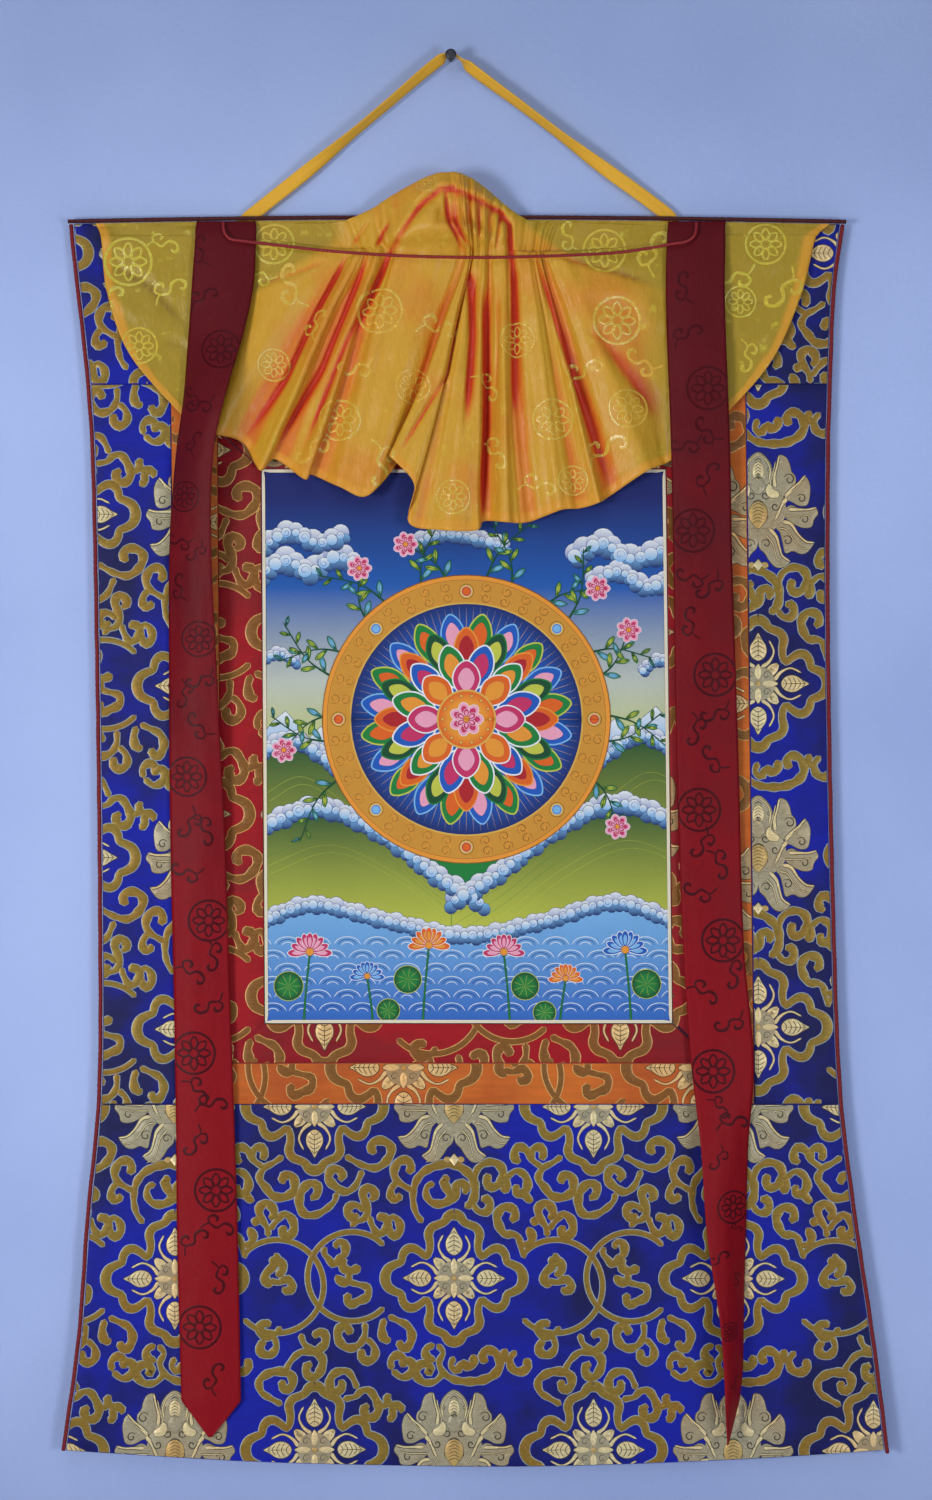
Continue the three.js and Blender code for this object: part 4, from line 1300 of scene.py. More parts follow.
def weave_in(patch: Patch, figures: Drawing, pattern: BrocadeFigures, origin: Point, mount: MountShape,
             rise: float, reach: float = 16, margin: float = 0.6) -> bmesh.types.BMesh:
    """Repeats the figures over a piece of cloth, trims them and bends them onto it.

    Args:
        patch: the piece of cloth.
        figures: one repeat.
        pattern: the repeat's sizes.
        origin: where one of its crosses lies.
        mount: the surface.
        rise: how far the cloth's face lies over its middle.
        reach: how far past the cloth figures are kept until they are trimmed.
        margin: how far inside the cloth's edges they end.

    Returns:
        The figures on the cloth.
    """
    spots = [patch.spot(across / 6, down / 6) for across in range(7) for down in range(7)]
    (low_x, high_x), (low_z, high_z) = ((min(line), max(line)) for line in zip(*spots))
    places = pattern.over(origin, (low_x, high_x, low_z, high_z))
    log.info("%s: %d repeats", patch.name, len(places))
    mesh = figures.repeated(places, pattern.unit / BrocadeFigures.unit)
    far = [vert for vert in mesh.verts if not (low_x - reach < vert.co.x < high_x + reach
                                               and low_z - reach < vert.co.z < high_z + reach)]
    bmesh.ops.delete(mesh, geom=far, context="VERTS")
    patch.trim(mesh, margin)
    for vert in mesh.verts:
        vert.co = mount.point(vert.co.x, vert.co.z, rise - vert.co.y)
    return mesh


@dataclass
class Border(Piece):
    """Four mitred strips of brocade round the painting, with their woven figures."""

    mount: MountShape
    figures: Drawing
    pattern: BrocadeFigures
    name: str
    outer: tuple[Point, Point, Point, Point]
    inner: tuple[Point, Point, Point, Point]
    bright: Colour
    deep: Colour
    origin: Point
    slot: str
    thick: float = 1.8
    middle_z: float = -600
    weft_gap: float = 0.02
    mitre_share: float = 0.93

    def _strip(self, side: Side) -> Patch:
        """The outline of one strip; corners run top left, top right, bottom left, bottom right."""
        out, hole = self.outer, self.inner
        corners = {Side.TOP: (out[0], out[1], hole[0], hole[1]),
                   Side.BOTTOM: (hole[2], hole[3], out[2], out[3]),
                   Side.LEFT: (out[0], hole[0], out[2], hole[2]),
                   Side.RIGHT: (hole[1], out[1], hole[3], out[3])}
        return Patch.framed(f"{self.name}_{side.value}", *corners[side])

    def _ground(self, patch: Patch, lengthwise: bool) -> bmesh.types.BMesh:
        """The sheet of one strip, its rows level in a lengthwise one and mitred at the ends of the others."""

        def place(across: float, down: float) -> Vector:
            """A point of the strip."""
            if lengthwise:
                z = lerp(patch.top(0), patch.bottom(0), down)
            else:
                x = lerp(patch.left(self.middle_z), patch.right(self.middle_z), across)
                z = lerp(patch.top(x), patch.bottom(x), down)
            return self.mount.point(lerp(patch.left(z), patch.right(z), across), z)

        return bent_grid(*((64, 5) if lengthwise else (5, 84)), place)

    def build(self) -> list[bpy.types.Object]:
        """The strips and their figures."""
        ground = BrocadeGround(self.slot, self.bright, self.deep).make()
        back = woven_back(self.slot + "_back", self.deep)
        weft = WeftThread(self.slot + "_weft", 0.35, cast=(1.08, 0.86, 0.66)).make()
        woven = bmesh.new()
        strips = {}
        for side in Side:
            patch = self._strip(side)
            sheet = self._ground(patch, side in (Side.TOP, Side.BOTTOM))
            strip = finish_object(patch.name + "_ground", sheet, ground)
            thicken(strip, self.thick, round_edge=0.45, back=back)
            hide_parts(patch.name)
            rise = self.thick / 2 + self.weft_gap
            pour(weave_in(patch, self.figures, self.pattern, self.origin, self.mount, rise), woven)
            strips[side] = strip
        figures_object = finish_object(self.name + "_figures", woven, weft)
        wide = abs(self.outer[0][1] - self.inner[0][1]) * MM
        for side, strip in strips.items():
            length = (self.outer[1][0] - self.outer[0][0] if side in (Side.TOP, Side.BOTTOM)
                      else self.outer[0][1] - self.outer[2][1]) * MM
            wide * length * self.mitre_share
        return [*strips.values(), figures_object]


class Paint(Ink, Enum):
    """Inks of the painting."""

    NIGHT = 20, 34, 104
    SKY = 24, 88, 170
    HAZE = 186, 194, 182
    MEADOW_LIGHT = 192, 198, 72
    LEAF = 22, 126, 56
    LEAF_DARK = 10, 74, 42
    DEEP = 18, 40, 104
    BLUE = 24, 88, 182
    PALE_BLUE = 122, 180, 226
    WHITE = 228, 232, 232
    ORANGE = 222, 98, 26
    AMBER = 230, 150, 50
    OCHRE = 204, 144, 50
    OCHRE_DARK = 138, 80, 24
    ROSE = 196, 46, 98
    PINK = 234, 160, 184
    RED = 172, 28, 36
    GOLD = 214, 174, 80, 0.6
    CREAM = 226, 216, 190


@dataclass
class Painting(Piece):
    """The painted canvas with a generic design: a lotus roundel over hills, clouds and a pond."""

    mount: MountShape
    thick: float = 1.4
    centre: Point = (14, -600)
    rise: float = 0.72
    paint_margin: float = 0.4
    columns: int = 62
    rows: int = 84
    sprigs: int = 18
    sprig_root: float = 118
    ring_outer: float = 131
    ring_face: float = 127
    gem_reach: float = 116
    ring_inner: float = 106

    def build(self) -> list[bpy.types.Object]:
        """The canvas and its painted figures."""
        patch = Patch.framed("painting", *CANVAS_FRAME)
        mesh = bent_grid(self.columns, self.rows,
                         lambda across, down: self.mount.point(*patch.spot(across, down)))
        tint = mesh.loops.layers.float_color.new("tint")
        for face in mesh.faces:
            for loop in face.loops:
                loop[tint] = (*self._sky(loop.vert.co.z / MM), 0.0)
        paint = CanvasPaint().make()
        canvas = finish_object("painting_canvas", mesh, paint)
        back = PlainFinish("canvas_back", srgb(178, 168, 146), 0.8).make()
        thicken(canvas, self.thick, round_edge=0.3, back=back)
        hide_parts("painting")
        whole = bmesh.new()
        for draw in (self._sky_clouds, self._hills, self._pond, self._ripples, self._sprigs, self._ring,
                     self._petals, self._flowers, self._margin):
            art = draw()
            art.slice_up()
            patch.trim(art.mesh, self.paint_margin)
            pour(art.mesh, whole)
        for vert in whole.verts:
            vert.co = self.mount.point(vert.co.x, vert.co.z, self.rise - vert.co.y)
        figures = finish_object("painting_figures", whole, paint)
        return [canvas, figures]

    @staticmethod
    def _sky(z: float) -> Colour:
        """The ground colour of the painting at a height."""
        stops = ((-400, Paint.NIGHT), (-480, Paint.SKY), (-566, Paint.HAZE), (-640, Paint.MEADOW_LIGHT),
                 (-720, Paint.LEAF))
        for (high, upper), (low, lower) in zip(stops, stops[1:]):
            if z > low:
                share = clamp((high - z) / (high - low))
                return blend_colours(upper.colour, lower.colour, share)
        return stops[-1][1].colour

    def _cloud(self, art: Drawing, points: Sequence[Point], radius: float, rise: float) -> None:
        """A rolling band of cloud along a line, its lumps white above and blue below."""
        curve = Curve(points)
        count = int(curve.length / radius)
        rows = ((0.3, 1.0, Paint.WHITE, Paint.BLUE), (-0.55, 0.8, Paint.PALE_BLUE, Paint.DEEP),
                (0.0, 0.62, Paint.WHITE, Paint.PALE_BLUE))
        for row, (lift, size, upper, lower) in enumerate(rows):
            for step in range(count + 1):
                spot = curve.at((step + 0.5 * (row % 2)) / (count + 0.5))
                lump = radius * size * (0.9 + 0.2 * math.sin(step * 2.4 + row))
                height = rise + 0.02 * row + 0.006 * (step % 3)
                place = (spot.x, spot.y + lift * radius)
                art.disc(place, lump, upper, Paint.DEEP, 0.35, rise=height, low=lower)
                if row == 2 and step % 2:
                    art.spiral(place, lump * 0.7, 70 * step, 1.0, 0.7, Paint.BLUE, rise=height + 0.012)

    def _sky_clouds(self) -> Drawing:
        """Curled clouds in the upper sky, left and right of the roundel."""
        art = Drawing(flat=True)
        rolls = (((-176, -470), (-150, -456), (-128, -466), (-104, -452), (-84, -460)),
                 ((-172, -444), (-146, -430), (-120, -440), (-96, -432)),
                 ((112, -452), (138, -440), (160, -454), (204, -442)),
                 ((128, -474), (152, -466), (178, -480), (204, -470)),
                 ((-34, -440), (-8, -432), (24, -436), (52, -444)),
                 ((-174, -548), (-156, -540), (-140, -548)), ((174, -556), (188, -546), (204, -552)))
        for number, roll in enumerate(rolls):
            self._cloud(art, roll, (10, 8.5, 10, 8, 7, 5.5, 5.5)[number], 0.05 + 0.05 * (number % 2))
        return art

    def _hills(self) -> Drawing:
        """Snowy peaks, then overlapping green hills with rolling clouds along their tops."""
        art = Drawing(flat=True)
        for number, (x, z, wide) in enumerate(((-150, -592, 30), (-118, -606, 24), (150, -598, 28),
                                               (186, -588, 30))):
            peak = [(x - wide, z - 34), (x - wide * 0.4, z - 10), (x, z), (x + wide * 0.35, z - 12),
                    (x + wide, z - 34)]
            art.patch(peak, Paint.WHITE, Paint.DEEP, 0.4, rise=0.05 + 0.01 * number, smooth=False,
                      low=Paint.PALE_BLUE)
        lines = (
            (((-178, -634), (-146, -618), (-108, -640), (-66, -680), (-30, -700)), 7.5),
            (((206, -630), (172, -614), (136, -636), (96, -676), (60, -698)), 7.5),
            (((-178, -700), (-120, -680), (-62, -704), (-10, -744), (30, -768)), 8.5),
            (((206, -694), (150, -676), (92, -702), (40, -742), (0, -766)), 8.5),
        )
        for number, (line, radius) in enumerate(lines):
            foot = [(line[-1][0], -800), (line[0][0], -800)]
            art.patch([*line, *foot], Paint.LEAF_DARK, Paint.LEAF, 0.6, rise=0.1 + 0.03 * number,
                      low=Paint.MEADOW_LIGHT, smooth=False)
            for row in range(5):
                tuft = [(x + 3 * row, z - 13 - 7 * row) for x, z in line]
                art.band(tuft, 0.7, Paint.LEAF if row < 3 else Paint.MEADOW_LIGHT,
                         rise=0.112 + 0.03 * number, ends=(0.5, 0.5))
            self._cloud(art, line, radius, 0.12 + 0.03 * number)
        return art

    def _pond(self) -> Drawing:
        """Water along the bottom, with a roll of cloud for its shore."""
        art = Drawing(flat=True)
        shore = ((-178, -786), (-128, -768), (-60, -782), (14, -796), (88, -782), (150, -766), (206, -784))
        art.patch([*shore, (206, -884), (-178, -884)], Paint.PALE_BLUE, Paint.WHITE, 0.8, rise=0.26,
                  low=Paint.BLUE, smooth=False)
        self._cloud(art, shore, 7, 0.32)
        return art

    def _ripples(self) -> Drawing:
        """Arched wave lines all over the water."""
        wave = Drawing(flat=True)
        for number, reach in enumerate((12.5, 9, 5.5)):
            arc = [(reach * math.cos(math.radians(turn)), reach * 0.7 * math.sin(math.radians(turn)))
                   for turn in range(10, 180, 32)]
            wave.band(arc, 0.85, (Paint.WHITE, Paint.DEEP, Paint.WHITE)[number], rise=0.285 + 0.004 * number,
                      ends=(0.7, 0.7))
        places = [(14 + column * 27 + (row % 2) * 13.5, -806 - row * 12) for row in range(6)
                  for column in range(-7, 8)]
        rippled = Drawing(flat=True)
        rippled.mesh.free()
        rippled.mesh = wave.repeated(places)
        wave.mesh.free()
        return rippled

    def _sprigs(self) -> Drawing:
        """Curved leafy sprigs round the roundel, some with a flower at the end."""
        art = Drawing(flat=True)
        for number in range(self.sprigs):
            start = math.radians(-24 + number * 13.4)
            bend = 0.22 if number % 2 else -0.2
            tip = 168 + 10 * (number % 3)
            stem = [polar(self.centre, reach, start + lean)
                    for reach, lean in ((self.sprig_root, 0), (lerp(self.sprig_root, tip, 0.5), bend * 0.35),
                                        (tip, bend))]
            curve = Curve(stem)
            art.band(stem, 2.2, Paint.LEAF_DARK, rise=0.4, ends=(1, 0.5))
            for leaf in range(7):
                share = 0.22 + leaf * 0.12
                spot, heading = curve.at(share), curve.heading(share)
                side = Vector((-heading.y, heading.x)) * (1 if leaf % 2 else -1)
                ahead = Vector((heading.x, heading.y))
                root = Vector((spot.x, spot.y))
                reach = 13 - 6 * share
                points = [root, root + side * reach * 0.35 + ahead * reach * 0.15, root + side * reach * 0.8
                          + ahead * reach * 0.45, root + side * reach + ahead * reach,
                          root + side * reach * 0.4 + ahead * reach * 0.75]
                art.patch([tuple(point) for point in points], Paint.LEAF, Paint.LEAF_DARK, 0.5,
                          Paint.MEADOW_LIGHT if leaf % 3 else Paint.PALE_BLUE, 1.6,
                          rise=0.41 + 0.006 * leaf)
            if number % 3 == 0:
                self._blossom(art, (curve.at(1).x, curve.at(1).y), 12, 0.47)
        return art

    def _blossom(self, art: Drawing, spot: Point, size: float, rise: float) -> None:
        """A double flower with notched petals."""
        for ring, (count, reach, fill, glow) in enumerate(((7, 1.0, Paint.PINK, Paint.ROSE),
                                                          (6, 0.62, Paint.ROSE, Paint.PINK))):
            for number in range(count):
                angle = 2 * math.pi * (number + 0.5 * ring) / count
                self._petal(art, spot, angle, size * 0.05, size * reach, 0.62 - 0.1 * ring,
                            (fill, glow, Paint.WHITE), rise + 0.03 * ring + 0.006 * (number % 4))
        art.disc(spot, size * 0.2, Paint.AMBER, Paint.RED, 0.4, rise=rise + 0.08)

    def _petal(self, art: Drawing, centre: Point, angle: float, base: float, tip: float, half: float,
               inks: tuple[Paint, Paint, Paint], rise: float) -> None:
        """One pointed petal about a centre, with a heart of another colour.

        Args:
            art: the drawing.
            centre: what the petal points away from.
            angle: where it points, in radians.
            base: distance of its root from the centre.
            tip: distance of its tip.
            half: half its width, as an angle in radians.
            inks: its fill, its heart and its rim.
            rise: its height.
        """
        middle = lerp(base, tip, 0.5)
        fill, heart, rim = inks
        for share, lift, ink, edge in ((1.0, 0.0, fill, rim), (0.6, 0.005, heart, Paint.DEEP)):
            edge_line = ((base, half * 0.5), (middle, half), (lerp(base, tip, 0.84), half * 0.55))
            shape = (*edge_line, (tip, 0), *((reach, -bend) for reach, bend in reversed(edge_line)))
            points = [polar(centre, middle + (reach - middle) * share, angle + bend * share)
                      for reach, bend in shape]
            art.patch(points, ink, edge, (tip - base) * 0.035 if share == 1 else 0.35, rise=rise + lift)

    def _ring(self) -> Drawing:
        """The ochre ring with engraved scrolls and set gems, and the rayed ground inside it."""
        art = Drawing(flat=True)
        art.disc(self.centre, self.ring_outer, Paint.AMBER, Paint.OCHRE_DARK, 0.8, rise=0.5)
        art.disc(self.centre, self.ring_face, Paint.OCHRE, Paint.OCHRE_DARK, 0.7, rise=0.51)

        def at(reach: float, angle: float) -> Point:
            """A point about the ring's middle."""
            return polar(self.centre, reach, angle)

        for number in range(40):
            angle = math.radians(number * 9)
            if number % 5 == 0:
                gem, light = (Paint.BLUE, Paint.PALE_BLUE) if number % 2 else (Paint.RED, Paint.ORANGE)
                art.disc(at(self.gem_reach, angle), 7, Paint.GOLD, Paint.OCHRE_DARK, 0.7, rise=0.53)
                art.disc(at(self.gem_reach, angle), 5, gem, Paint.WHITE, 0.5, light, 1.6, rise=0.54)
                continue
            for reach, size, turn in ((121, 5.4, 1.2), (111.5, 5.2, -1.2)):
                art.spiral(at(reach, angle), size, math.degrees(angle) + 40 * turn, turn, 1.2,
                           Paint.OCHRE_DARK, rise=0.52)
            art.band([at(107, angle - 0.06), at(self.gem_reach, angle + 0.03), at(125, angle - 0.03)], 0.9,
                     Paint.AMBER, rise=0.525)
        art.disc(self.centre, self.ring_inner, Paint.DEEP, Paint.GOLD, 1.4, Paint.BLUE, 30, rise=0.55)
        for number in range(96):
            angle = math.radians(number * 3.75)
            art.band([at(58, angle), at(80, angle), at(102, angle)], 0.55, Paint.GOLD, rise=0.56, ends=(1, 1),
                     step=12)
        return art

    def _petals(self) -> Drawing:
        """Four rings of petals about a flower."""
        art = Drawing(flat=True)
        rings = (
            (20, 9, 58, 97, 0.15, ((Paint.LEAF, Paint.ORANGE, Paint.MEADOW_LIGHT),
                                   (Paint.BLUE, Paint.PINK, Paint.PALE_BLUE)), 0.58),
            (16, 0, 46, 84, 0.18, ((Paint.ORANGE, Paint.RED, Paint.AMBER),
                                   (Paint.LEAF_DARK, Paint.MEADOW_LIGHT, Paint.LEAF)), 0.63),
            (12, 15, 30, 70, 0.25, ((Paint.BLUE, Paint.ROSE, Paint.WHITE),
                                    (Paint.LEAF, Paint.AMBER, Paint.WHITE)), 0.68),
            (8, 0, 20, 54, 0.36, ((Paint.ROSE, Paint.PINK, Paint.WHITE),
                                  (Paint.ORANGE, Paint.AMBER, Paint.WHITE)), 0.73),
        )
        for count, turn, base, tip, half, inks, rise in rings:
            for number in range(count):
                self._petal(art, self.centre, math.radians(turn + number * 360 / count), base, tip, half,
                            inks[number % 2], rise + 0.012 * (number % 4))
        art.disc(self.centre, 27, Paint.ORANGE, Paint.GOLD, 1.6, Paint.AMBER, 9, rise=0.8)
        for number in range(14):
            art.disc(polar(self.centre, 21.5, 2 * math.pi * number / 14), 1.8, Paint.GOLD, Paint.RED, 0.4,
                     rise=0.82)
        self._blossom(art, self.centre, 16, 0.84)
        return art

    def _flowers(self) -> Drawing:
        """Lotus flowers on stems that rise from the pond."""
        art = Drawing(flat=True)
        plants = ((-128, -812, 19, Paint.ROSE, Paint.PINK), (-76, -834, 15, Paint.BLUE, Paint.PALE_BLUE),
                  (-20, -806, 18, Paint.ORANGE, Paint.AMBER), (48, -812, 18, Paint.ROSE, Paint.PINK),
                  (104, -836, 15, Paint.ORANGE, Paint.AMBER), (158, -810, 19, Paint.BLUE, Paint.PALE_BLUE))
        for number, (x, z, size, fill, heart) in enumerate(plants):
            lean = 6 if number % 2 else -6
            art.band([(x + lean, -884), (x + lean * 0.6, (z - 884) / 2), (x, z)], 2.4, Paint.LEAF,
                     Paint.LEAF_DARK, 0.5, rise=0.38, ends=(1, 0.8))
            pad = (x + lean * 3.2, z - 30)
            art.disc(pad, size * 0.72, Paint.LEAF_DARK, Paint.MEADOW_LIGHT, 0.6, Paint.LEAF,
                     size * 0.3, rise=0.39)
            for rib in range(9):
                art.band([pad, polar(pad, size * 0.6, 2 * math.pi * rib / 9)], 0.5, Paint.MEADOW_LIGHT,
                         rise=0.4)
            for order, turn in enumerate((0, 180, 24, 156, 50, 130, 72, 108, 90)):
                self._petal(art, (x, z), math.radians(turn), 1, size * (1.1 if turn in (0, 180) else 1.0),
                            0.34, (fill, heart, Paint.WHITE), 0.42 + 0.008 * order)
            art.disc((x, z + 1), size * 0.2, Paint.AMBER, Paint.OCHRE_DARK, 0.4, rise=0.52)
        return art

    def _margin(self) -> Drawing:
        """The narrow pale margin round the painting."""
        art = Drawing(flat=True)
        top_left, top_right, low_left, low_right = CANVAS_FRAME
        corners = (top_left, top_right, low_right, low_left)
        inward = ((0, -1.6), (-1.6, 0), (0, 1.6), (1.6, 0))
        for number, (start, end) in enumerate(zip(corners, corners[1:] + corners[:1])):
            shift = inward[number]
            points = [(start[0] + shift[0], start[1] + shift[1]), (end[0] + shift[0], end[1] + shift[1])]
            art.band(points, 3.4, Paint.CREAM, rise=0.94 + 0.01 * number, ends=(1, 1), step=8)
        return art


def tube(points: Sequence[Vector], radius: float, sides: int, steps: int, groove: float = 0.0,
         turns: float = 0.0) -> bmesh.types.BMesh:
    """A closed tube along a route, with points and sizes in millimetres.

    Args:
        points: the route, as x, out and z.
        radius: the tube's radius.
        sides: faces round it.
        steps: faces along it.
        groove: how deep the grooves between its strands are.
        turns: how often its strands wind round over the whole length.

    Returns:
        The tube, in metres.
    """
    curve = Curve(points)
    mesh = bmesh.new()
    bmesh.ops.create_grid(mesh, x_segments=steps, y_segments=sides, size=0.5)
    for vert in mesh.verts:
        share = vert.co.x + 0.5
        angle = (vert.co.y + 0.5) * 2 * math.pi
        heading = curve.heading(share)
        away = Vector((0, 1, 0)) - heading * heading.y
        away = away.normalized() if away.length > 0.1 else Vector((0, 0, 1))
        side = heading.cross(away)
        reach = radius * (1 - groove * abs(math.sin(angle + turns * math.pi * share)) ** 3)
        spot = curve.at(share) + (away * math.cos(angle) + side * math.sin(angle)) * reach
        vert.co = metres(*spot)
    map_flat(mesh)
    close_up(mesh)
    return mesh


def fed_path(curve: Curve) -> list[Point3]:
    """Even points along a cord's middle, in metres."""
    return [tuple(metres(*curve.at(step / CORD_STEPS))) for step in range(CORD_STEPS + 1)]


@dataclass
class Piping(Piece):
    """Dark red piping down both sides and along the top edge."""

    mount: MountShape
    radius: float = 2.0
    high: float = 3.6
    back: float = 6.9
    front: float = 13.6
    steps: int = 60
    lumps: float = 0.15

    def build(self) -> list[bpy.types.Object]:
        """The three pipings."""
        # The top roll uses the same red cloth, darkened as painted shade.
        cloth, dark = (PlainFinish(name, colour, rough, grain=420, contrast=0.5, depth=0.0005).make()
                       for name, colour, rough in (("piping_cloth", srgb(116, 20, 26), 0.75),
                                                   ("piping_painted_shade", srgb(70, 20, 22), 0.8)))
        objects = []
        for side, inward in ((Side.LEFT, 1), (Side.RIGHT, -1)):
            corner = self.mount.side(side, self.mount.top_z)
            top, low = self.mount.top(corner) - SEAM_GAP, self.mount.bottom(corner)
            points = []
            for step in range(self.steps + 1):
                z = lerp(top, low, step / self.steps)
                x = self.mount.side(side, z) + inward * (self.radius - self.lumps * math.sin(step * 2.3))
                points.append(Vector((x, self.mount.out(x, z), z)))
            roll = tube(points, self.radius, sides=10, steps=420, groove=0.16, turns=190)
            piping = finish_object(f"piping_{side.value}_roll", roll, cloth)
            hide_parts(f"piping_{side.value}")
            objects.append(piping)
        return [*objects, self._top(dark)]

    def _top(self, cloth: bpy.types.Material) -> bpy.types.Object:
        """The flattened roll along the top edge, in the darkened painted-shade copy of the piping cloth."""
        left, right = (self.mount.side(side, self.mount.top_z) for side in (Side.LEFT, Side.RIGHT))
        middle = (self.back + self.front) / 2

        def place(across: float, around: float) -> Vector:
            """A point of the roll."""
            x = lerp(left, right, across)
            angle = 2 * math.pi * around
            lump = 1 + 0.05 * math.sin(x * 0.9) + 0.04 * math.sin(x * 0.23 + 1)
            out = middle + (self.front - self.back) / 2 * math.cos(angle) * lump
            z = self.mount.top(x) + SEAM_GAP + self.high / 2 + self.high / 2 * math.sin(angle) * lump
            return metres(x, out, z)

        mesh = bent_grid(360, 12, place)
        close_up(mesh)
        piping = finish_object("piping_top_roll", mesh, cloth)
        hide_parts("piping_top")
        return piping


@dataclass(frozen=True)
class Crease:
    """A trough in the veil, steeper on its left, or a ridge if its depth is negative; in millimetres."""

    line: tuple[Point, ...]
    depth: float
    width: float
    # tone: how strongly the crease adds to the veil's painted fold shade.
    tone: float = 1.0

    def at(self, x: float, z: float) -> float:
        """How far it presses the cloth in at a place."""
        reach = self.width * 2.6
        nearest, along = reach, 0.0
        for part, ((x0, z0), (x1, z1)) in enumerate(zip(self.line, self.line[1:])):
            if not (min(x0, x1) - reach < x < max(x0, x1) + reach
                    and min(z0, z1) - reach < z < max(z0, z1) + reach):
                continue
            dx, dz = x1 - x0, z1 - z0
            share = clamp(((x - x0) * dx + (z - z0) * dz) / (dx * dx + dz * dz))
            away = math.hypot(x - x0 - dx * share, z - z0 - dz * share)
            if self.depth > 0 and dx * (z - z0) < dz * (x - x0):
                away *= 1.9
            if away < nearest:
                nearest, along = away, (part + share) / (len(self.line) - 1)
        if nearest >= reach:
            return 0.0
        fade = smoothstep(along, -0.04, 0.12) * (1 - smoothstep(along, 0.72, 1.06))
        return self.depth * fade * math.exp(-(nearest / self.width) ** 2)


@dataclass
class Veil(Piece):
    """The gathered silk veil: one cloth with its folds, creases, hem and woven damask."""

    mount: MountShape
    columns: int = 392
    rows: int = 118
    thick: float = 0.7
    hem_wide: float = 9.0
    clear: float = 2.4
    creases: tuple[Crease, ...] = (
        Crease(((-56, -153), (-63, -164), (-70, -177)), 3.5, 2.6),
        Crease(((-74, -150), (-92, -174)), 2.5, 2.6),
        Crease(((-32, -132), (-5, -122), (22, -128), (45, -141)), -4, 5),
        Crease(((56, -206), (54.6, -176), (53.5, -154), (44.6, -142), (26, -134), (15, -130), (1, -124),
                (-10, -125), (-27, -138), (-37, -152), (-54, -178), (-62, -190)), 6, 4.6, 1.0),
        Crease(((-5, -128), (-4, -144), (-2, -156), (11, -178)), 5, 2.4),
        Crease(((5, -150), (12, -166), (26, -180)), -3.5, 4),
        Crease(((2, -150), (9, -165), (22, -181)), 4, 2.4, 0.9),
        Crease(((14, -136), (16, -160)), 3, 2.4, 0.6), Crease(((24, -138), (25, -172)), 3.5, 2.4, 0.8),
        Crease(((34, -142), (33, -170)), 3, 2.2, 0.5), Crease(((44, -144), (40, -180)), 3.5, 2.4, 0.8),
        Crease(((-95, -183), (-125, -238), (-148, -289), (-187, -347)), 6, 3.5),
        Crease(((-76, -185), (-117, -283), (-157, -350)), 6, 4),
        Crease(((-56, -181), (-95, -261), (-134, -359)), 6, 4.5),
        Crease(((-180, -209), (-147, -200), (-106, -184)), 2.5, 3.5),
        Crease(((-46, -361), (-3, -291), (15, -196)), 4, 2.5),
        Crease(((17, -194), (19, -255), (13, -340)), 8, 6, 0.9),
        Crease(((30, -209), (30, -337), (26, -421)), 7, 4.5),
        Crease(((42, -218), (42, -264), (40, -328)), 2.5, 3), Crease(((56, -191), (57, -328)), 5, 4.5),
        Crease(((79, -187), (105, -278), (121, -321), (142, -387)), 6.5, 4.5),
        Crease(((99, -184), (136, -193), (194, -209)), 3, 3.5),
        Crease(((126, -246), (158, -287), (190, -328)), 4, 11),
        Crease(((113, -209), (172, -218), (190, -255)), -3, 10),
        Crease(((-309, -189), (-274, -209), (-236, -250)), 3.4, 6),
        Crease(((-260, -259), (-240, -264)), 2, 6), Crease(((247, -221), (281, -225), (299, -226)), 2.2, 2.6),
        Crease(((-319, -162), (-294, -173), (-265, -169)), -1.6, 6),
        Crease(((-308, -215), (-283, -235), (-256, -238)), -2, 7),
        Crease(((258, -184), (286, -191), (308, -184)), -1.6, 7),
        Crease(((254, -246), (274, -259), (286, -246)), -1.6, 8),
        Crease(((99, -159), (145, -168), (186, -162)), -1.2, 8),
        Crease(((-172, -164), (-137, -184), (-119, -164)), -1.2, 8),
        Crease(((-14, -148), (14, -152), (40, -158)), 8, 14, 0.12), Crease(((-48, -172), (-30, -138)), -3, 7),
        Crease(((50, -166), (44, -150)), -3, 6),
    )
    folds: tuple[tuple[float, float, float, float, float, float], ...] = (
        (-322, -316, -232, -337, 15, -25), (-260, -251, -225, -339, 13, -13),
        (-206, -183, -218, -342, 13, -5), (-160, -121, -211, -344, 26, -9), (-139, -95, -188, -350, 13, 0),
        (-121, -86, -172, -376, 26, 0), (-105, -76, -159, -365, 13, 0), (-86, -66, -132, -384, 26, 0),
        (-70, -56, -126, -379, 13, 0), (-52, -46, -100, -391, 24, 0), (-28, -10, -75, -399, 26, 0),
        (-10, 10, -48, -367, 14, 0), (-1, 14, -55, -364, 30, 5), (6, 17, -33, -389, 31, 4),
        (15, 20, -38, -423, 24, 0), (24, 25, -9, -430, 28, 0), (34, 30, 23, -430, 26, 0),
        (43, 35, 30, -421, 14, 2), (54, 45, 51, -423, 27, 0), (66, 56, 70, -422, 18, -4),
        (79, 68, 99, -412, 28, 0), (91, 76, 116, -410, 20, 0), (101, 80, 134, -405, 26, 0),
        (110, 84, 144, -398, 13, 0), (134, 97, 176, -377, 26, 0), (172, 136, 194, -369, 15, 7),
        (222, 181, 201, -365, 18, 15), (281, 245, 209, -360, 13, 13), (343, 329, 217, -355, 15, 25),
    )
    levels: tuple[tuple[float, float, float, float, float], ...] = ((0.3, 0.8, 0.6, 2, 0.28),
                                                                    (0.62, 1, 0.9, 1.5, 0.62))

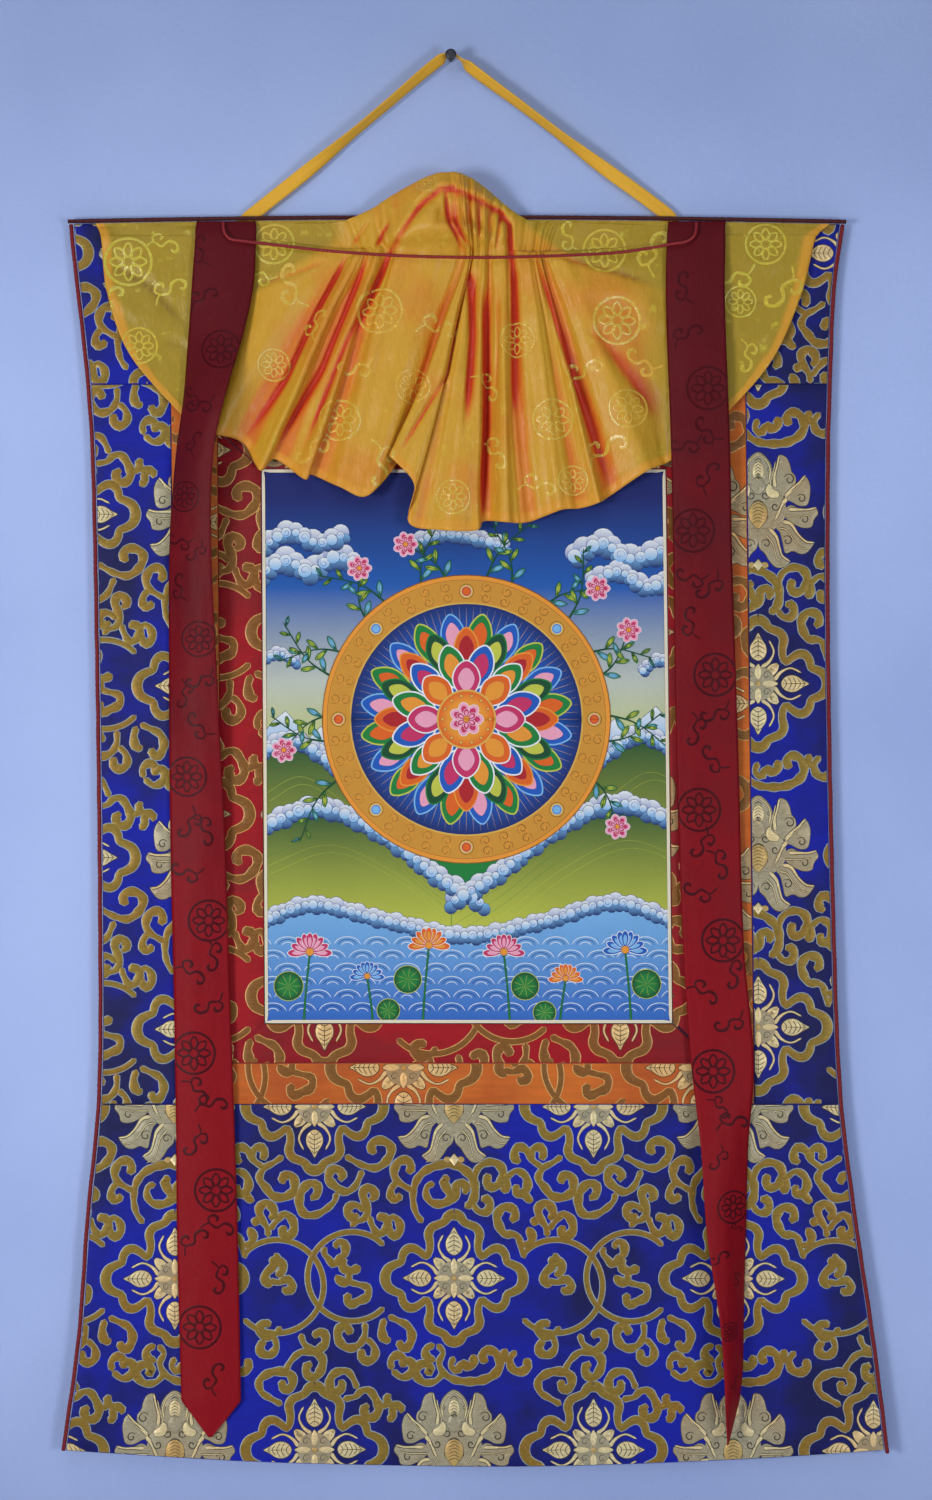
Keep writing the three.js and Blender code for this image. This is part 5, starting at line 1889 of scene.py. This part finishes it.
    @staticmethod
    def _tie_z(x: float) -> float:
        """Height of the tie cord where it crosses the veil."""
        share = clamp((x - 22) / 218, -1, 1)
        return -168 - 17 * (1 - share * share)

    @staticmethod
    def _puff(x: float) -> float:
        """Share of the puff at a place across: 1 at its peak, 0 outside it."""
        return math.cos(math.pi / 2 * min(abs(x) / (115 if x < 0 else 85), 1)) ** 2

    @staticmethod
    def _gathered(x: float, z: float) -> float:
        """Share of gathered cloth at a place: 0 where the veil hangs flat above and beside its fans."""
        inside = smoothstep(x, -238, -205) * (1 - smoothstep(x, 150, 215))
        left = (1 - smoothstep(x, -112, -90)) * smoothstep(z + 174 - 0.63 * (x + 114), -6, 6)
        beside_puff = smoothstep(x - 55 + 1.35 * (z + 146), -4, 12)
        right = beside_puff * smoothstep(z + 180 + 0.285 * (x - 85), -5, 5)
        return inside * (1 - 0.9 * max(left, right))

    def _path(self, fold: Sequence[float]) -> list[Point3]:
        """Where one fold passes from the top edge to the hem, as points across, out and up."""
        top_x, tie_x, hem_x, hem_z, hem_out, bow = fold
        top_z = self.mount.top(top_x) - SEAM_GAP
        crest_x, face_x = lerp(top_x, tie_x, 0.5), lerp(top_x, tie_x, 0.8)
        puff, at_top = self._puff(crest_x), self._puff(top_x)
        pleat = (hem_out - 20) / 20
        gathered = 1 - smoothstep(abs(tie_x - 10), 90, 165)
        tie_out = lerp(13.8, 23 + 5 * pleat, gathered)
        path = [
            (top_x, 10.2, top_z),
            (lerp(top_x, tie_x, 0.2), lerp(10.7, 17.5, at_top), top_z - lerp(3, 5, at_top)),
            (crest_x, lerp(11.4, 31, puff), lerp(top_z - 6, top_z + 39, puff)),
            (face_x, lerp(12.5, 46 + 8 * pleat, puff), self._tie_z(face_x) + lerp(6, 30, puff)),
            (tie_x, tie_out, self._tie_z(tie_x)),
        ]
        for across, bowed, out, swell, down in self.levels:
            path.append((lerp(tie_x, hem_x, across) + bow * bowed,
                         lerp(tie_out, hem_out, out) + swell * gathered,
                         lerp(self._tie_z(tie_x), hem_z, down)))
        path.append((hem_x, hem_out, hem_z))
        return path

    def _base(self, paths: list[list[Point3]], across: float, down: float) -> Vector:
        """A point of the smooth veil, as x, out and z in millimetres."""

        def around(entries: Sequence, share: float) -> tuple[list, float]:
            """The four entries round a share of the whole, and the share between the middle two."""
            place = share * (len(entries) - 1)
            start = min(int(place), len(entries) - 2)
            last = len(entries) - 1
            return [entries[max(0, min(last, start + shift))] for shift in (-1, 0, 1, 2)], place - start

        four, within = around(paths, across)
        rows = []
        for path in four:
            points, share = around(path, down)
            rows.append([hermite(*(point[axis] for point in points), share) for axis in range(3)])
        return Vector([hermite(*(row[axis] for row in rows), within) for axis in range(3)])

    def _crumple(self, spot: Vector, across: float, down: float) -> None:
        """Adds creases, fine pleats and slack to a point of the smooth veil, in millimetres."""
        gathered = 1 - smoothstep(abs(across - 0.5), 0.3, 0.42)
        pleats = smooth_noise(Vector((across * 58, down * 1.3, 0))) * 3.4
        pleats += smooth_noise(Vector((across * 105, down * 1.8, 7))) * 1.5
        pleats += (0.4 - abs(smooth_noise(Vector((across * 42, down * 0.9, 3))))) * 4.2
        slack = smooth_noise(Vector((spot.x * 0.03, down * 3, spot.z * 0.04))) * 1.6
        started = smoothstep(down, 0.04, 0.2)
        pressed = sum(crease.at(spot.x, spot.z) for crease in self.creases)
        spot.y += (pleats * gathered * (0.45 + 0.55 * down) + slack) * started - pressed * started
        lowest = self.mount.out(spot.x, spot.z) + 1 + self.clear * smoothstep(-spot.z, 150, 172)
        if spot.z < -150:
            spot.y = max(spot.y, lowest)

    def build(self) -> list[bpy.types.Object]:
        """The veil and its damask."""
        paths = [self._path(fold) for fold in self.folds]
        grid = [[self._base(paths, column / self.columns, row / self.rows)
                 for column in range(self.columns + 1)] for row in range(self.rows + 1)]
        for row, line in enumerate(grid):
            for column, spot in enumerate(line):
                self._crumple(spot, column / self.columns, row / self.rows)
        cloth: dict[tuple[int, int], tuple[Colour, Vector]] = {}
        for row, line in enumerate(grid):
            for column, spot in enumerate(line):
                valley = 0.0
                for reach in (4, 8, 13):
                    sides = [line[max(0, min(self.columns, column + shift))].y for shift in (-reach, reach)]
                    valley = max(valley, sum(sides) / 2 - spot.y)
                pressed = sum(crease.at(spot.x, spot.z) * crease.tone
                              for crease in self.creases if crease.depth > 0)
                selvedge = min((spot - line[0]).length, (spot - line[-1]).length)
                to_hem = min((spot - grid[-1][column]).length, selvedge)
                hem = 1 - smoothstep(to_hem, self.hem_wide - 1.2, self.hem_wide)
                gathered = self._gathered(spot.x, spot.z)
                # Painted shade: deep grows where the cloth lies in a valley between its neighbours or under a pressed
                # crease; the silk's finish paints it orange to red.
                deep = clamp(clamp(valley / 7) * 0.55 * gathered + pressed / 7.5)
                cloth[row, column] = ((deep, hem, 1 - gathered), metres(spot.x, spot.y + 0.45 * hem, spot.z))

        def place(across: float, down: float) -> Vector:
            """The point worked out for that column and row."""
            return cloth[round(down * self.rows), round(across * self.columns)][1]

        mesh = bent_grid(self.columns, self.rows, place)
        tint = mesh.verts.layers.float_color.new("cloth")
        looks = {key[1].to_tuple(7): key[0] for key in cloth.values()}
        for vert in mesh.verts:
            vert[tint] = (*looks.get(vert.co.to_tuple(7), (0, 0, 0)), 1)
        drape = BVHTree.FromBMesh(mesh)
        veil = finish_object("veil_silk_cloth", mesh, VeilSilk().make())
        thicken(veil, self.thick)
        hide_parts("veil")
        damask = self._damask(drape)
        return [veil, damask]

    def _damask(self, drape: BVHTree) -> bpy.types.Object:
        """Raised satin roundels and cloud scrolls, laid on the silk from the front."""
        drawing = Drawing()
        green, amber = Ink(206, 190, 68), Ink(222, 184, 74)
        spots = ((-292, -186, 21), (-282, -262, 16), (-160, -170, 18), (139, -176, 19), (285, -170, 18),
                 (150, -240, 21), (262, -222, 14), (-64, -232, 20), (-100, -330, 18), (92, -330, 18),
                 (60, -258, 15), (-34, -300, 15), (160, -320, 17), (2, -400, 15), (-22, -118, 9),
                 (110, -385, 13), (-160, -280, 14))
        for x, z, size in spots:
            damask_roundel(drawing, (x, z), size, amber if self._gathered(x, z) > 0.5 else green)
        clouds = ((-262, -172), (-255, -214), (-306, -228), (-140, -210), (-170, -196), (-84, -280),
                  (-126, -352), (-66, -368), (30, -300), (76, -392), (120, -290), (186, -180), (110, -164),
                  (176, -276), (258, -196), (300, -208), (266, -270), (36, -360), (-14, -250), (140, -360),
                  (-120, -246))
        for number, (x, z) in enumerate(clouds):
            ink = amber if self._gathered(x, z) > 0.5 else green
            damask_cloud(drawing, (x, z), 15 + number % 4 * 2, number * 40.0, ink)
        finish = WeftThread("veil_damask", 0.0, 0.24).make()
        return drape_on("veil_damask", drawing, drape, 0.55, finish)


def damask_roundel(drawing: Drawing, centre: Point, size: float, ink: Ink) -> None:
    """A plain roundel: a knot of eight loops in a ring."""

    def at(reach: float, degrees: float) -> Point:
        """A point about the centre."""
        return polar(centre, size * reach, math.radians(degrees))

    width = size * 0.12
    drawing.band([at(1, turn) for turn in range(0, 360, 20)], width, ink, rise=0.12, closed=True, step=2)
    for petal in range(8):
        turn = petal * 45
        loop = [at(0.2, turn), at(0.55, turn - 19), at(0.8, turn), at(0.55, turn + 19)]
        drawing.band(loop, width * 0.8, ink, rise=0.1 + 0.02 * (petal % 2), closed=True, step=1.6)


def damask_cloud(drawing: Drawing, centre: Point, size: float, turn: float, ink: Ink) -> None:
    """A cloud scroll with two curls."""
    angle = math.radians(turn)
    shapes = (((-1, -0.1), (-0.5, 0.25), (0, 0), (0.45, 0.3), (0.9, 0.15), (1, -0.2), (0.75, -0.35),
               (0.6, -0.15)),
              ((-0.4, 0.2), (-0.55, 0.55), (-0.2, 0.75), (0.05, 0.55), (-0.1, 0.38)))
    for shape in shapes:
        points = [(centre[0] + size * (px * math.cos(angle) - pz * math.sin(angle)),
                   centre[1] + size * (px * math.sin(angle) + pz * math.cos(angle))) for px, pz in shape]
        drawing.band(points, size * 0.17, ink, rise=0.1, step=2, swell=0.15)


def drape_on(name: str, drawing: Drawing, drape: BVHTree, rise: float, finish: bpy.types.Material) -> bpy.types.Object:
    """Lays flat figures on a cloth from the front and drops what misses it.

    Args:
        name: the object's name.
        drawing: the figures.
        drape: the cloth's middle surface.
        rise: how far over it they lie, in millimetres.
        finish: their material.

    Returns:
        The object.
    """
    missed = []
    for vert in drawing.mesh.verts:
        start = Vector((vert.co.x * MM, -0.5, vert.co.z * MM))
        spot, normal, _, _ = drape.ray_cast(start, Vector((0, 1, 0)))
        if spot is None:
            missed.append(vert)
            continue
        if normal.y > 0:
            normal = -normal
        vert.co = spot + normal * (rise - vert.co.y) * MM
    bmesh.ops.delete(drawing.mesh, geom=missed, context="VERTS")
    torn = [face for face in drawing.mesh.faces if max(edge.calc_length() for edge in face.edges) > 5 * MM]
    bmesh.ops.delete(drawing.mesh, geom=torn, context="FACES")
    obj = finish_object(name, drawing.mesh, finish)
    return obj


@dataclass
class Ribbon(Piece):
    """One silk ribbon from the top edge to its point, with damask and turned hems."""

    name: str
    table: Table
    tip: Point
    roundels: tuple[float, ...]
    finish: bpy.types.Material
    gloss: bpy.types.Material
    flat: tuple[float, float]
    columns: int = 18
    rows: int = 300
    thick: float = 0.9
    spread: float = 1.3
    point_share: float = 0.94
    roundel_size: float = 19.0
    cloud_size: float = 15.0
    shoulder: float = 35 / 38

    def _spot(self, across: float, down: float) -> Vector:
        """A point of the ribbon, as x, out and z in millimetres."""
        top, shoulder_z = self.table.rows[0][0], self.table.rows[-1][0]
        z = lerp(top, shoulder_z, min(down / self.shoulder, 1) ** self.spread)
        left, right, out, lift = (self.table.read(name, z) for name in ("left", "right", "out", "lift"))
        curl = (3 + abs(lift) * 0.1) * (1 - (2 * across - 1) ** 2) * smoothstep(top - z, 0, 60)
        spot = Vector((lerp(left, right, across), out + lift * (across - 0.5) + curl, z))
        pointed = max(0.0, (down - self.shoulder) / (1 - self.shoulder))
        spot = spot.lerp(Vector((self.tip[0], out, self.tip[1])), pointed * self.point_share)
        soft = smoothstep(top - z, 20, 90)
        spot.y += soft * 1.1 * smooth_noise(Vector((across * 2.1, z * 0.014, len(self.name))))
        spot.y += soft * 0.5 * smooth_noise(Vector((across * 5, z * 0.05, 3.1)))
        edge = min(across, 1 - across) * (right - left)
        spot.y += 0.35 * (1 - smoothstep(edge, 3.2, 4.2))
        return spot

    def build(self) -> list[bpy.types.Object]:
        """The ribbon and its damask."""
        mesh = bent_grid(self.columns, self.rows, lambda across, down: metres(*self._spot(across, down)))
        tint = mesh.verts.layers.float_color.new("cloth")
        top, low = self.table.rows[0][0], self.tip[1]
        for vert in mesh.verts:
            share = (top - vert.co.z / MM) / (top - low)
            vert[tint] = (share, share, share, 1)
        drape = BVHTree.FromBMesh(mesh)
        ribbon = finish_object(self.name + "_silk", mesh, self.finish)
        thicken(ribbon, self.thick)
        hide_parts(self.name)
        drawing = Drawing()
        ink = Ink(74, 8, 20)
        for number, z in enumerate(self.roundels):
            left, right = self.table.read("left", z), self.table.read("right", z)
            x = lerp(left, right, 0.34 if number % 2 else 0.66)
            damask_roundel(drawing, (x, z), min(self.roundel_size, (right - left) * 0.36), ink)
            for shift, turn in ((46, 40.0), (-48, 200.0), (90, 110.0)):
                side = lerp(left, right, 0.62 if number % 2 else 0.3)
                size = min(self.cloud_size, (right - left) * 0.3)
                damask_cloud(drawing, (side, z + shift), size, turn + number * 35, ink)
        damask = drape_on(self.name + "_damask", drawing, drape, 0.6, self.gloss)
        return [ribbon, damask]


@dataclass
class Cords(Piece):
    """The twisted tie cord across the veil and the woven hanging tape over the nail."""

    tie_route: tuple[Point3, ...] = (
        (-206, 15.9, -150.8), (-205.5, 19.2, -155.6), (-204, 22, -161.6), (-199, 23.6, -167),
        (-190, 23.8, -168.6), (-172, 22, -170.6), (-150, 21.4, -173.1), (-124, 23.2, -176.4),
        (-100, 27, -179.3), (-50, 29.2, -183), (22, 30.5, -185), (70, 29.8, -184.1), (100, 27.8, -182.8),
        (125, 25, -181.2), (150, 21.8, -179.1), (180, 21.6, -174.8), (200, 24.2, -171.6), (212, 24.4, -169.6),
        (219, 23.4, -165), (221.5, 20.6, -158), (222, 16.1, -151))
    tape_route: tuple[Point3, ...] = (
        (-196, 5.8, -171), (-192, 5.8, -158), (-186, 5.8, -147), (-174, 6.6, -137), (-124, 10, -98),
        (-61, 11.6, -46), (-20, 12, -11), (-3.8, 12, 1.4), (0, 12, 3.1), (3.8, 12, 1.4), (20, 12, -12),
        (62, 11.6, -43), (130, 10, -94), (186, 6.6, -134), (199, 5.8, -145), (204, 5.8, -157),
        (206, 5.8, -170))
    tie_radius: float = 1.5
    tape_wide: float = 12
    tape_rows: int = 260
    tape_thick: float = 0.9

    def build(self) -> list[bpy.types.Object]:
        """The tie cord and the tape."""
        thread = PlainFinish("tie_thread", srgb(140, 30, 36), 0.6, grain=1500, depth=0.0003).make()
        points = [Vector(point) for point in self.tie_route]
        twist = tube(points, self.tie_radius, sides=10, steps=620, groove=0.3, turns=150)
        tie = finish_object("tie_cord_twist", twist, thread)
        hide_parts("tie_cord")
        curve = Curve(points)
        path = fed_path(curve)
        return [tie, self._tape()]

    def _tape(self) -> bpy.types.Object:
        """The tape: flat behind the top edge, half turned on its way up, flat over the nail's shank."""
        curve = Curve([Vector(point) for point in self.tape_route])

        def place(across: float, down: float) -> Vector:
            """A point of the tape, with more rows near the nail."""
            from_nail = 2 * down - 1
            along = 0.5 + math.copysign(abs(from_nail) ** 1.5, from_nail) / 2
            spot, heading = curve.at(along), curve.heading(along)
            flat = Vector((heading.z, 0, -heading.x)).normalized()
            off = abs(along - 0.5) * 2
            turn = math.radians(52 * (1 - smoothstep(off, 0.4, 0.8))
                                + 12 * (1 - min(abs(off - 0.4) / 0.3, 1) ** 2)
                                + 38 * (1 - smoothstep(off, 0.024, 0.06)))
            side = flat * math.cos(turn) + Vector((0, -math.sin(turn), 0))
            fold = 0.35 * math.cos((across - 0.4) * 9) * smoothstep(off, 0.04, 0.12)
            spot = spot + side * (0.5 - across) * self.tape_wide + Vector((0, fold, 0))
            return metres(*spot)

        cloth = PlainFinish("tape_cloth", srgb(226, 170, 40), 0.62, grain=800, contrast=0.25,
                            depth=0.0003).make()
        tape = finish_object("hanging_tape_weave", bent_grid(6, self.tape_rows, place), cloth)
        thicken(tape, self.tape_thick)
        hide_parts("hanging_tape")
        path = fed_path(curve)
        return tape


@dataclass
class Nail(Piece):
    """The plain wall nail that the tape hangs on."""

    profile: tuple[Point, ...] = ((0, 0), (2, 0), (2, 18.6), (2.6, 20), (4.4, 21), (4.9, 21.6), (5, 22),
                                  (4.6, 22.6), (3.6, 23.1), (1.6, 23.4), (0, 23.4))

    def build(self) -> list[bpy.types.Object]:
        """The nail."""
        mesh = bmesh.new()
        verts = [mesh.verts.new(metres(radius, out, 0)) for radius, out in self.profile]
        edges = [mesh.edges.new(pair) for pair in zip(verts, verts[1:])]
        bmesh.ops.spin(mesh, geom=verts + edges, cent=(0, 0, 0), axis=(0, 1, 0), angle=2 * math.pi, steps=40,
                       use_merge=True)
        close_up(mesh)
        steel = PlainFinish("nail_steel", srgb(66, 68, 74), 0.45, metal=0.85, grain=700, contrast=0.5,
                            depth=0.0002).make()
        nail = finish_object("wall_nail_turned", mesh, steel)
        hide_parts("wall_nail")
        return [nail]


@dataclass
class Studio:
    """The camera, the floor, the wall behind and the lights."""

    aim: Point3 = (0.01365, 0.0, -0.6279)
    distance: float = 2.6
    tall: float = 1.365
    sensor: float = 36
    floor_z: float = -1.62
    wide: float = 6.0
    wall_top: float = 2.0
    wall_y: float = 0.0004

    def camera(self) -> None:
        """Sets the camera straight in front, with the photograph's frame."""
        data = bpy.data.cameras.new("front_camera")
        data.sensor_width = self.sensor
        data.lens = self.sensor * self.distance / self.tall
        camera = add_object("front_camera", data)
        camera.location = (self.aim[0], -self.distance, self.aim[2])
        camera.rotation_euler = (math.pi / 2, 0, 0)
        bpy.context.scene.camera = camera

    @staticmethod
    def _plane(name: str, corners: Sequence[Point3], material: bpy.types.Material) -> bpy.types.Object:
        """A flat stage piece through four corners."""
        mesh = bmesh.new()
        mesh.faces.new([mesh.verts.new(corner) for corner in corners])
        return add_object(name, mesh_data(name, mesh, material))

    @staticmethod
    def _wall_finish() -> bpy.types.Material:
        """Pale painted plaster, seen from its front alone, darkened towards the top and bottom as painted shade."""
        shader = Shader("plaster", srgb(166, 184, 230), 0.9)
        base = shader.mix(shader.noise(2.2, 3).soft_step(0.3, 0.7), srgb(156, 176, 224), srgb(170, 190, 236))
        # Painted shade: the wall darkens above and below the hanging's middle height.
        height = Sum(shader, shader.node("ShaderNodeSeparateXYZ", {}, {0: shader.place()}).outputs[2]) + 0.66
        shader.use(Base_Color=shader.shade(base, 1.04 - (height * height).soft_step(0.08, 0.5) * 0.2))
        shader.raise_by(shader.noise(170, 3), 0.0012, 0.5)
        clear = shader.node("ShaderNodeBsdfTransparent", {}, {})
        facing = shader.node("ShaderNodeNewGeometry", {}, {})
        mix = shader.node("ShaderNodeMixShader", {}, {0: facing.outputs["Backfacing"],
                                                      1: shader.surface.outputs[0], 2: clear.outputs[0]})
        shader.feed(shader.output, "Surface", mix.outputs[0])
        return shader.material

    @staticmethod
    def _light(name: str, place: Point3, size: float, power: float, colour: Colour,
               aim: Point3 = (0.0, 0.0, -0.5)) -> bpy.types.Object:
        """A soft square light that points at the middle of the hanging."""
        data = bpy.data.lights.new(name, "AREA")
        data.size = size
        data.energy = power
        data.color = colour
        light = add_object(name, data)
        light.location = place
        light.rotation_euler = (Vector(aim) - Vector(place)).to_track_quat("-Z", "Y").to_euler()
        return light

    def dress(self) -> None:
        """Adds the floor, wall and lights."""
        wide, low, high, wall_y = self.wide, self.floor_z, self.wall_top, self.wall_y
        floor = self._plane("floor", ((-wide, -wide, low), (wide, -wide, low), (wide, wide, low),
                                      (-wide, wide, low)),
                            PlainFinish("floor_paint", srgb(196, 198, 206), 0.85, grain=40,
                                        contrast=0.04).make())
        wall = self._plane("wall", ((-wide, wall_y, low), (wide, wall_y, low), (wide, wall_y, high),
                                    (-wide, wall_y, high)), self._wall_finish())
        wall.visible_shadow = False
        lights = [
            self._light("left_light", (-1.7, -2.3, -0.75), 0.7, 38, (1.0, 0.97, 0.95)),
            self._light("right_light", (1.5, -2.4, -0.85), 0.7, 20, (0.95, 0.97, 1.0)),
            self._light("top_light", (-0.3, -2.0, 1.3), 1.6, 12, (0.94, 0.97, 1.0)),
            self._light("back_light", (0.2, 2.6, 0.6), 2.0, 30, (0.96, 0.98, 1.0)),
        ]
        world = bpy.data.worlds.new("soft_room")
        bpy.context.scene.world = world
        world.use_nodes = True
        background = world.node_tree.nodes["Background"]
        background.inputs[0].default_value = (0.62, 0.7, 0.9, 1)
        background.inputs[1].default_value = 0.2
        bpy.context.scene.view_settings.view_transform = "Standard"


ORANGE_FRAME = ((-254, -296), (267, -296), (-248, -949), (275, -949))
RED_FRAME = ((-212, -337), (234, -337), (-208, -912), (239, -912))
CANVAS_FRAME = ((-172, -373), (195, -373), (-169, -876), (201, -876))
LEFT_RIBBON = Table(("z", "left", "right", "out", "lift"), (
    (-149.2, -230, -177, 12.2, 0), (-156, -231, -176, 15.5, 0), (-166, -231, -176, 18.5, 0),
    (-209, -234, -178, 20, 3), (-255, -237, -187, 25, 12), (-309, -241, -201, 34, 27),
    (-360, -248, -212, 32, 27), (-437, -254, -215, 27, 22), (-571, -255, -210, 20, 14),
    (-706, -254, -204, 16, 7), (-841, -251, -200, 14, 4), (-962, -249, -196, 13.5, 3),
    (-1063, -248, -193, 13, 2), (-1217, -244, -190, 13, 2)))
RIGHT_RIBBON = Table(("z", "left", "right", "out", "lift"), (
    (-149.2, 197, 249, 12.2, 0), (-156, 196, 248, 15.5, 0), (-166, 195, 248, 18.5, 0),
    (-209, 194, 247, 21, 2), (-255, 195, 248, 22, 3), (-306, 197, 250, 22, 3), (-365, 199, 252, 22, 2),
    (-454, 201, 254, 18, 2), (-634, 204, 260, 15, 1), (-806, 210, 265, 15, 1), (-910, 217, 274, 16, -2),
    (-986, 225, 269, 21, -16), (-1063, 230, 267, 24, -24), (-1139, 241, 265, 27, -30),
    (-1191, 245, 264, 27, -30), (-1217, 246, 261, 27, -29)))


def main() -> None:
    """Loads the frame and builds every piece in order."""
    logging.basicConfig(level=logging.INFO, format="%(name)s %(message)s")
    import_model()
    studio = Studio()
    studio.camera()
    pieces: list[Piece] = [Cords(), Nail()]
    mount = MountShape()
    pattern = BrocadeFigures()
    wide = BrocadeFigures(unit=0.965)
    figures = pattern.draw()
    border_figures = BrocadeFigures(gold=Weft.BROWN, pale=Weft.HONEY).draw()
    silk = RibbonSilk().make()
    gloss = WeftThread("ribbon_damask", 0.0, 0.45, satin=0.12).make()
    pieces += [
        BrocadePanels(mount, figures, pattern),
        Border(mount, border_figures, wide, "orange_border", ORANGE_FRAME, RED_FRAME, srgb(206, 108, 36),
               srgb(182, 84, 26), (-43, -916), "orange_brocade"),
        Border(mount, border_figures, wide, "red_border", RED_FRAME, CANVAS_FRAME, srgb(162, 12, 26),
               srgb(128, 8, 20), (-114.7, -851), "red_brocade"),
        Painting(mount),
        Piping(mount),
        Veil(mount),
        Ribbon("ribbon_left", LEFT_RIBBON, (-218, -1252), (-268, -400, -528, -652, -782, -902, -1026, -1150),
               silk, gloss, (0.055, 1.11)),
        Ribbon("ribbon_right", RIGHT_RIBBON, (249, -1256), (-302, -430, -560, -682, -800, -918, -1040, -1150),
               silk, gloss, (0.057, 1.12)),
    ]
    for piece in pieces:
        for obj in piece.build():
            log.info("%s built %s", type(piece).__name__, obj.name)
    for drawing in (figures, border_figures):
        drawing.mesh.free()
    studio.dress()


if __name__ == "__main__":
    main()
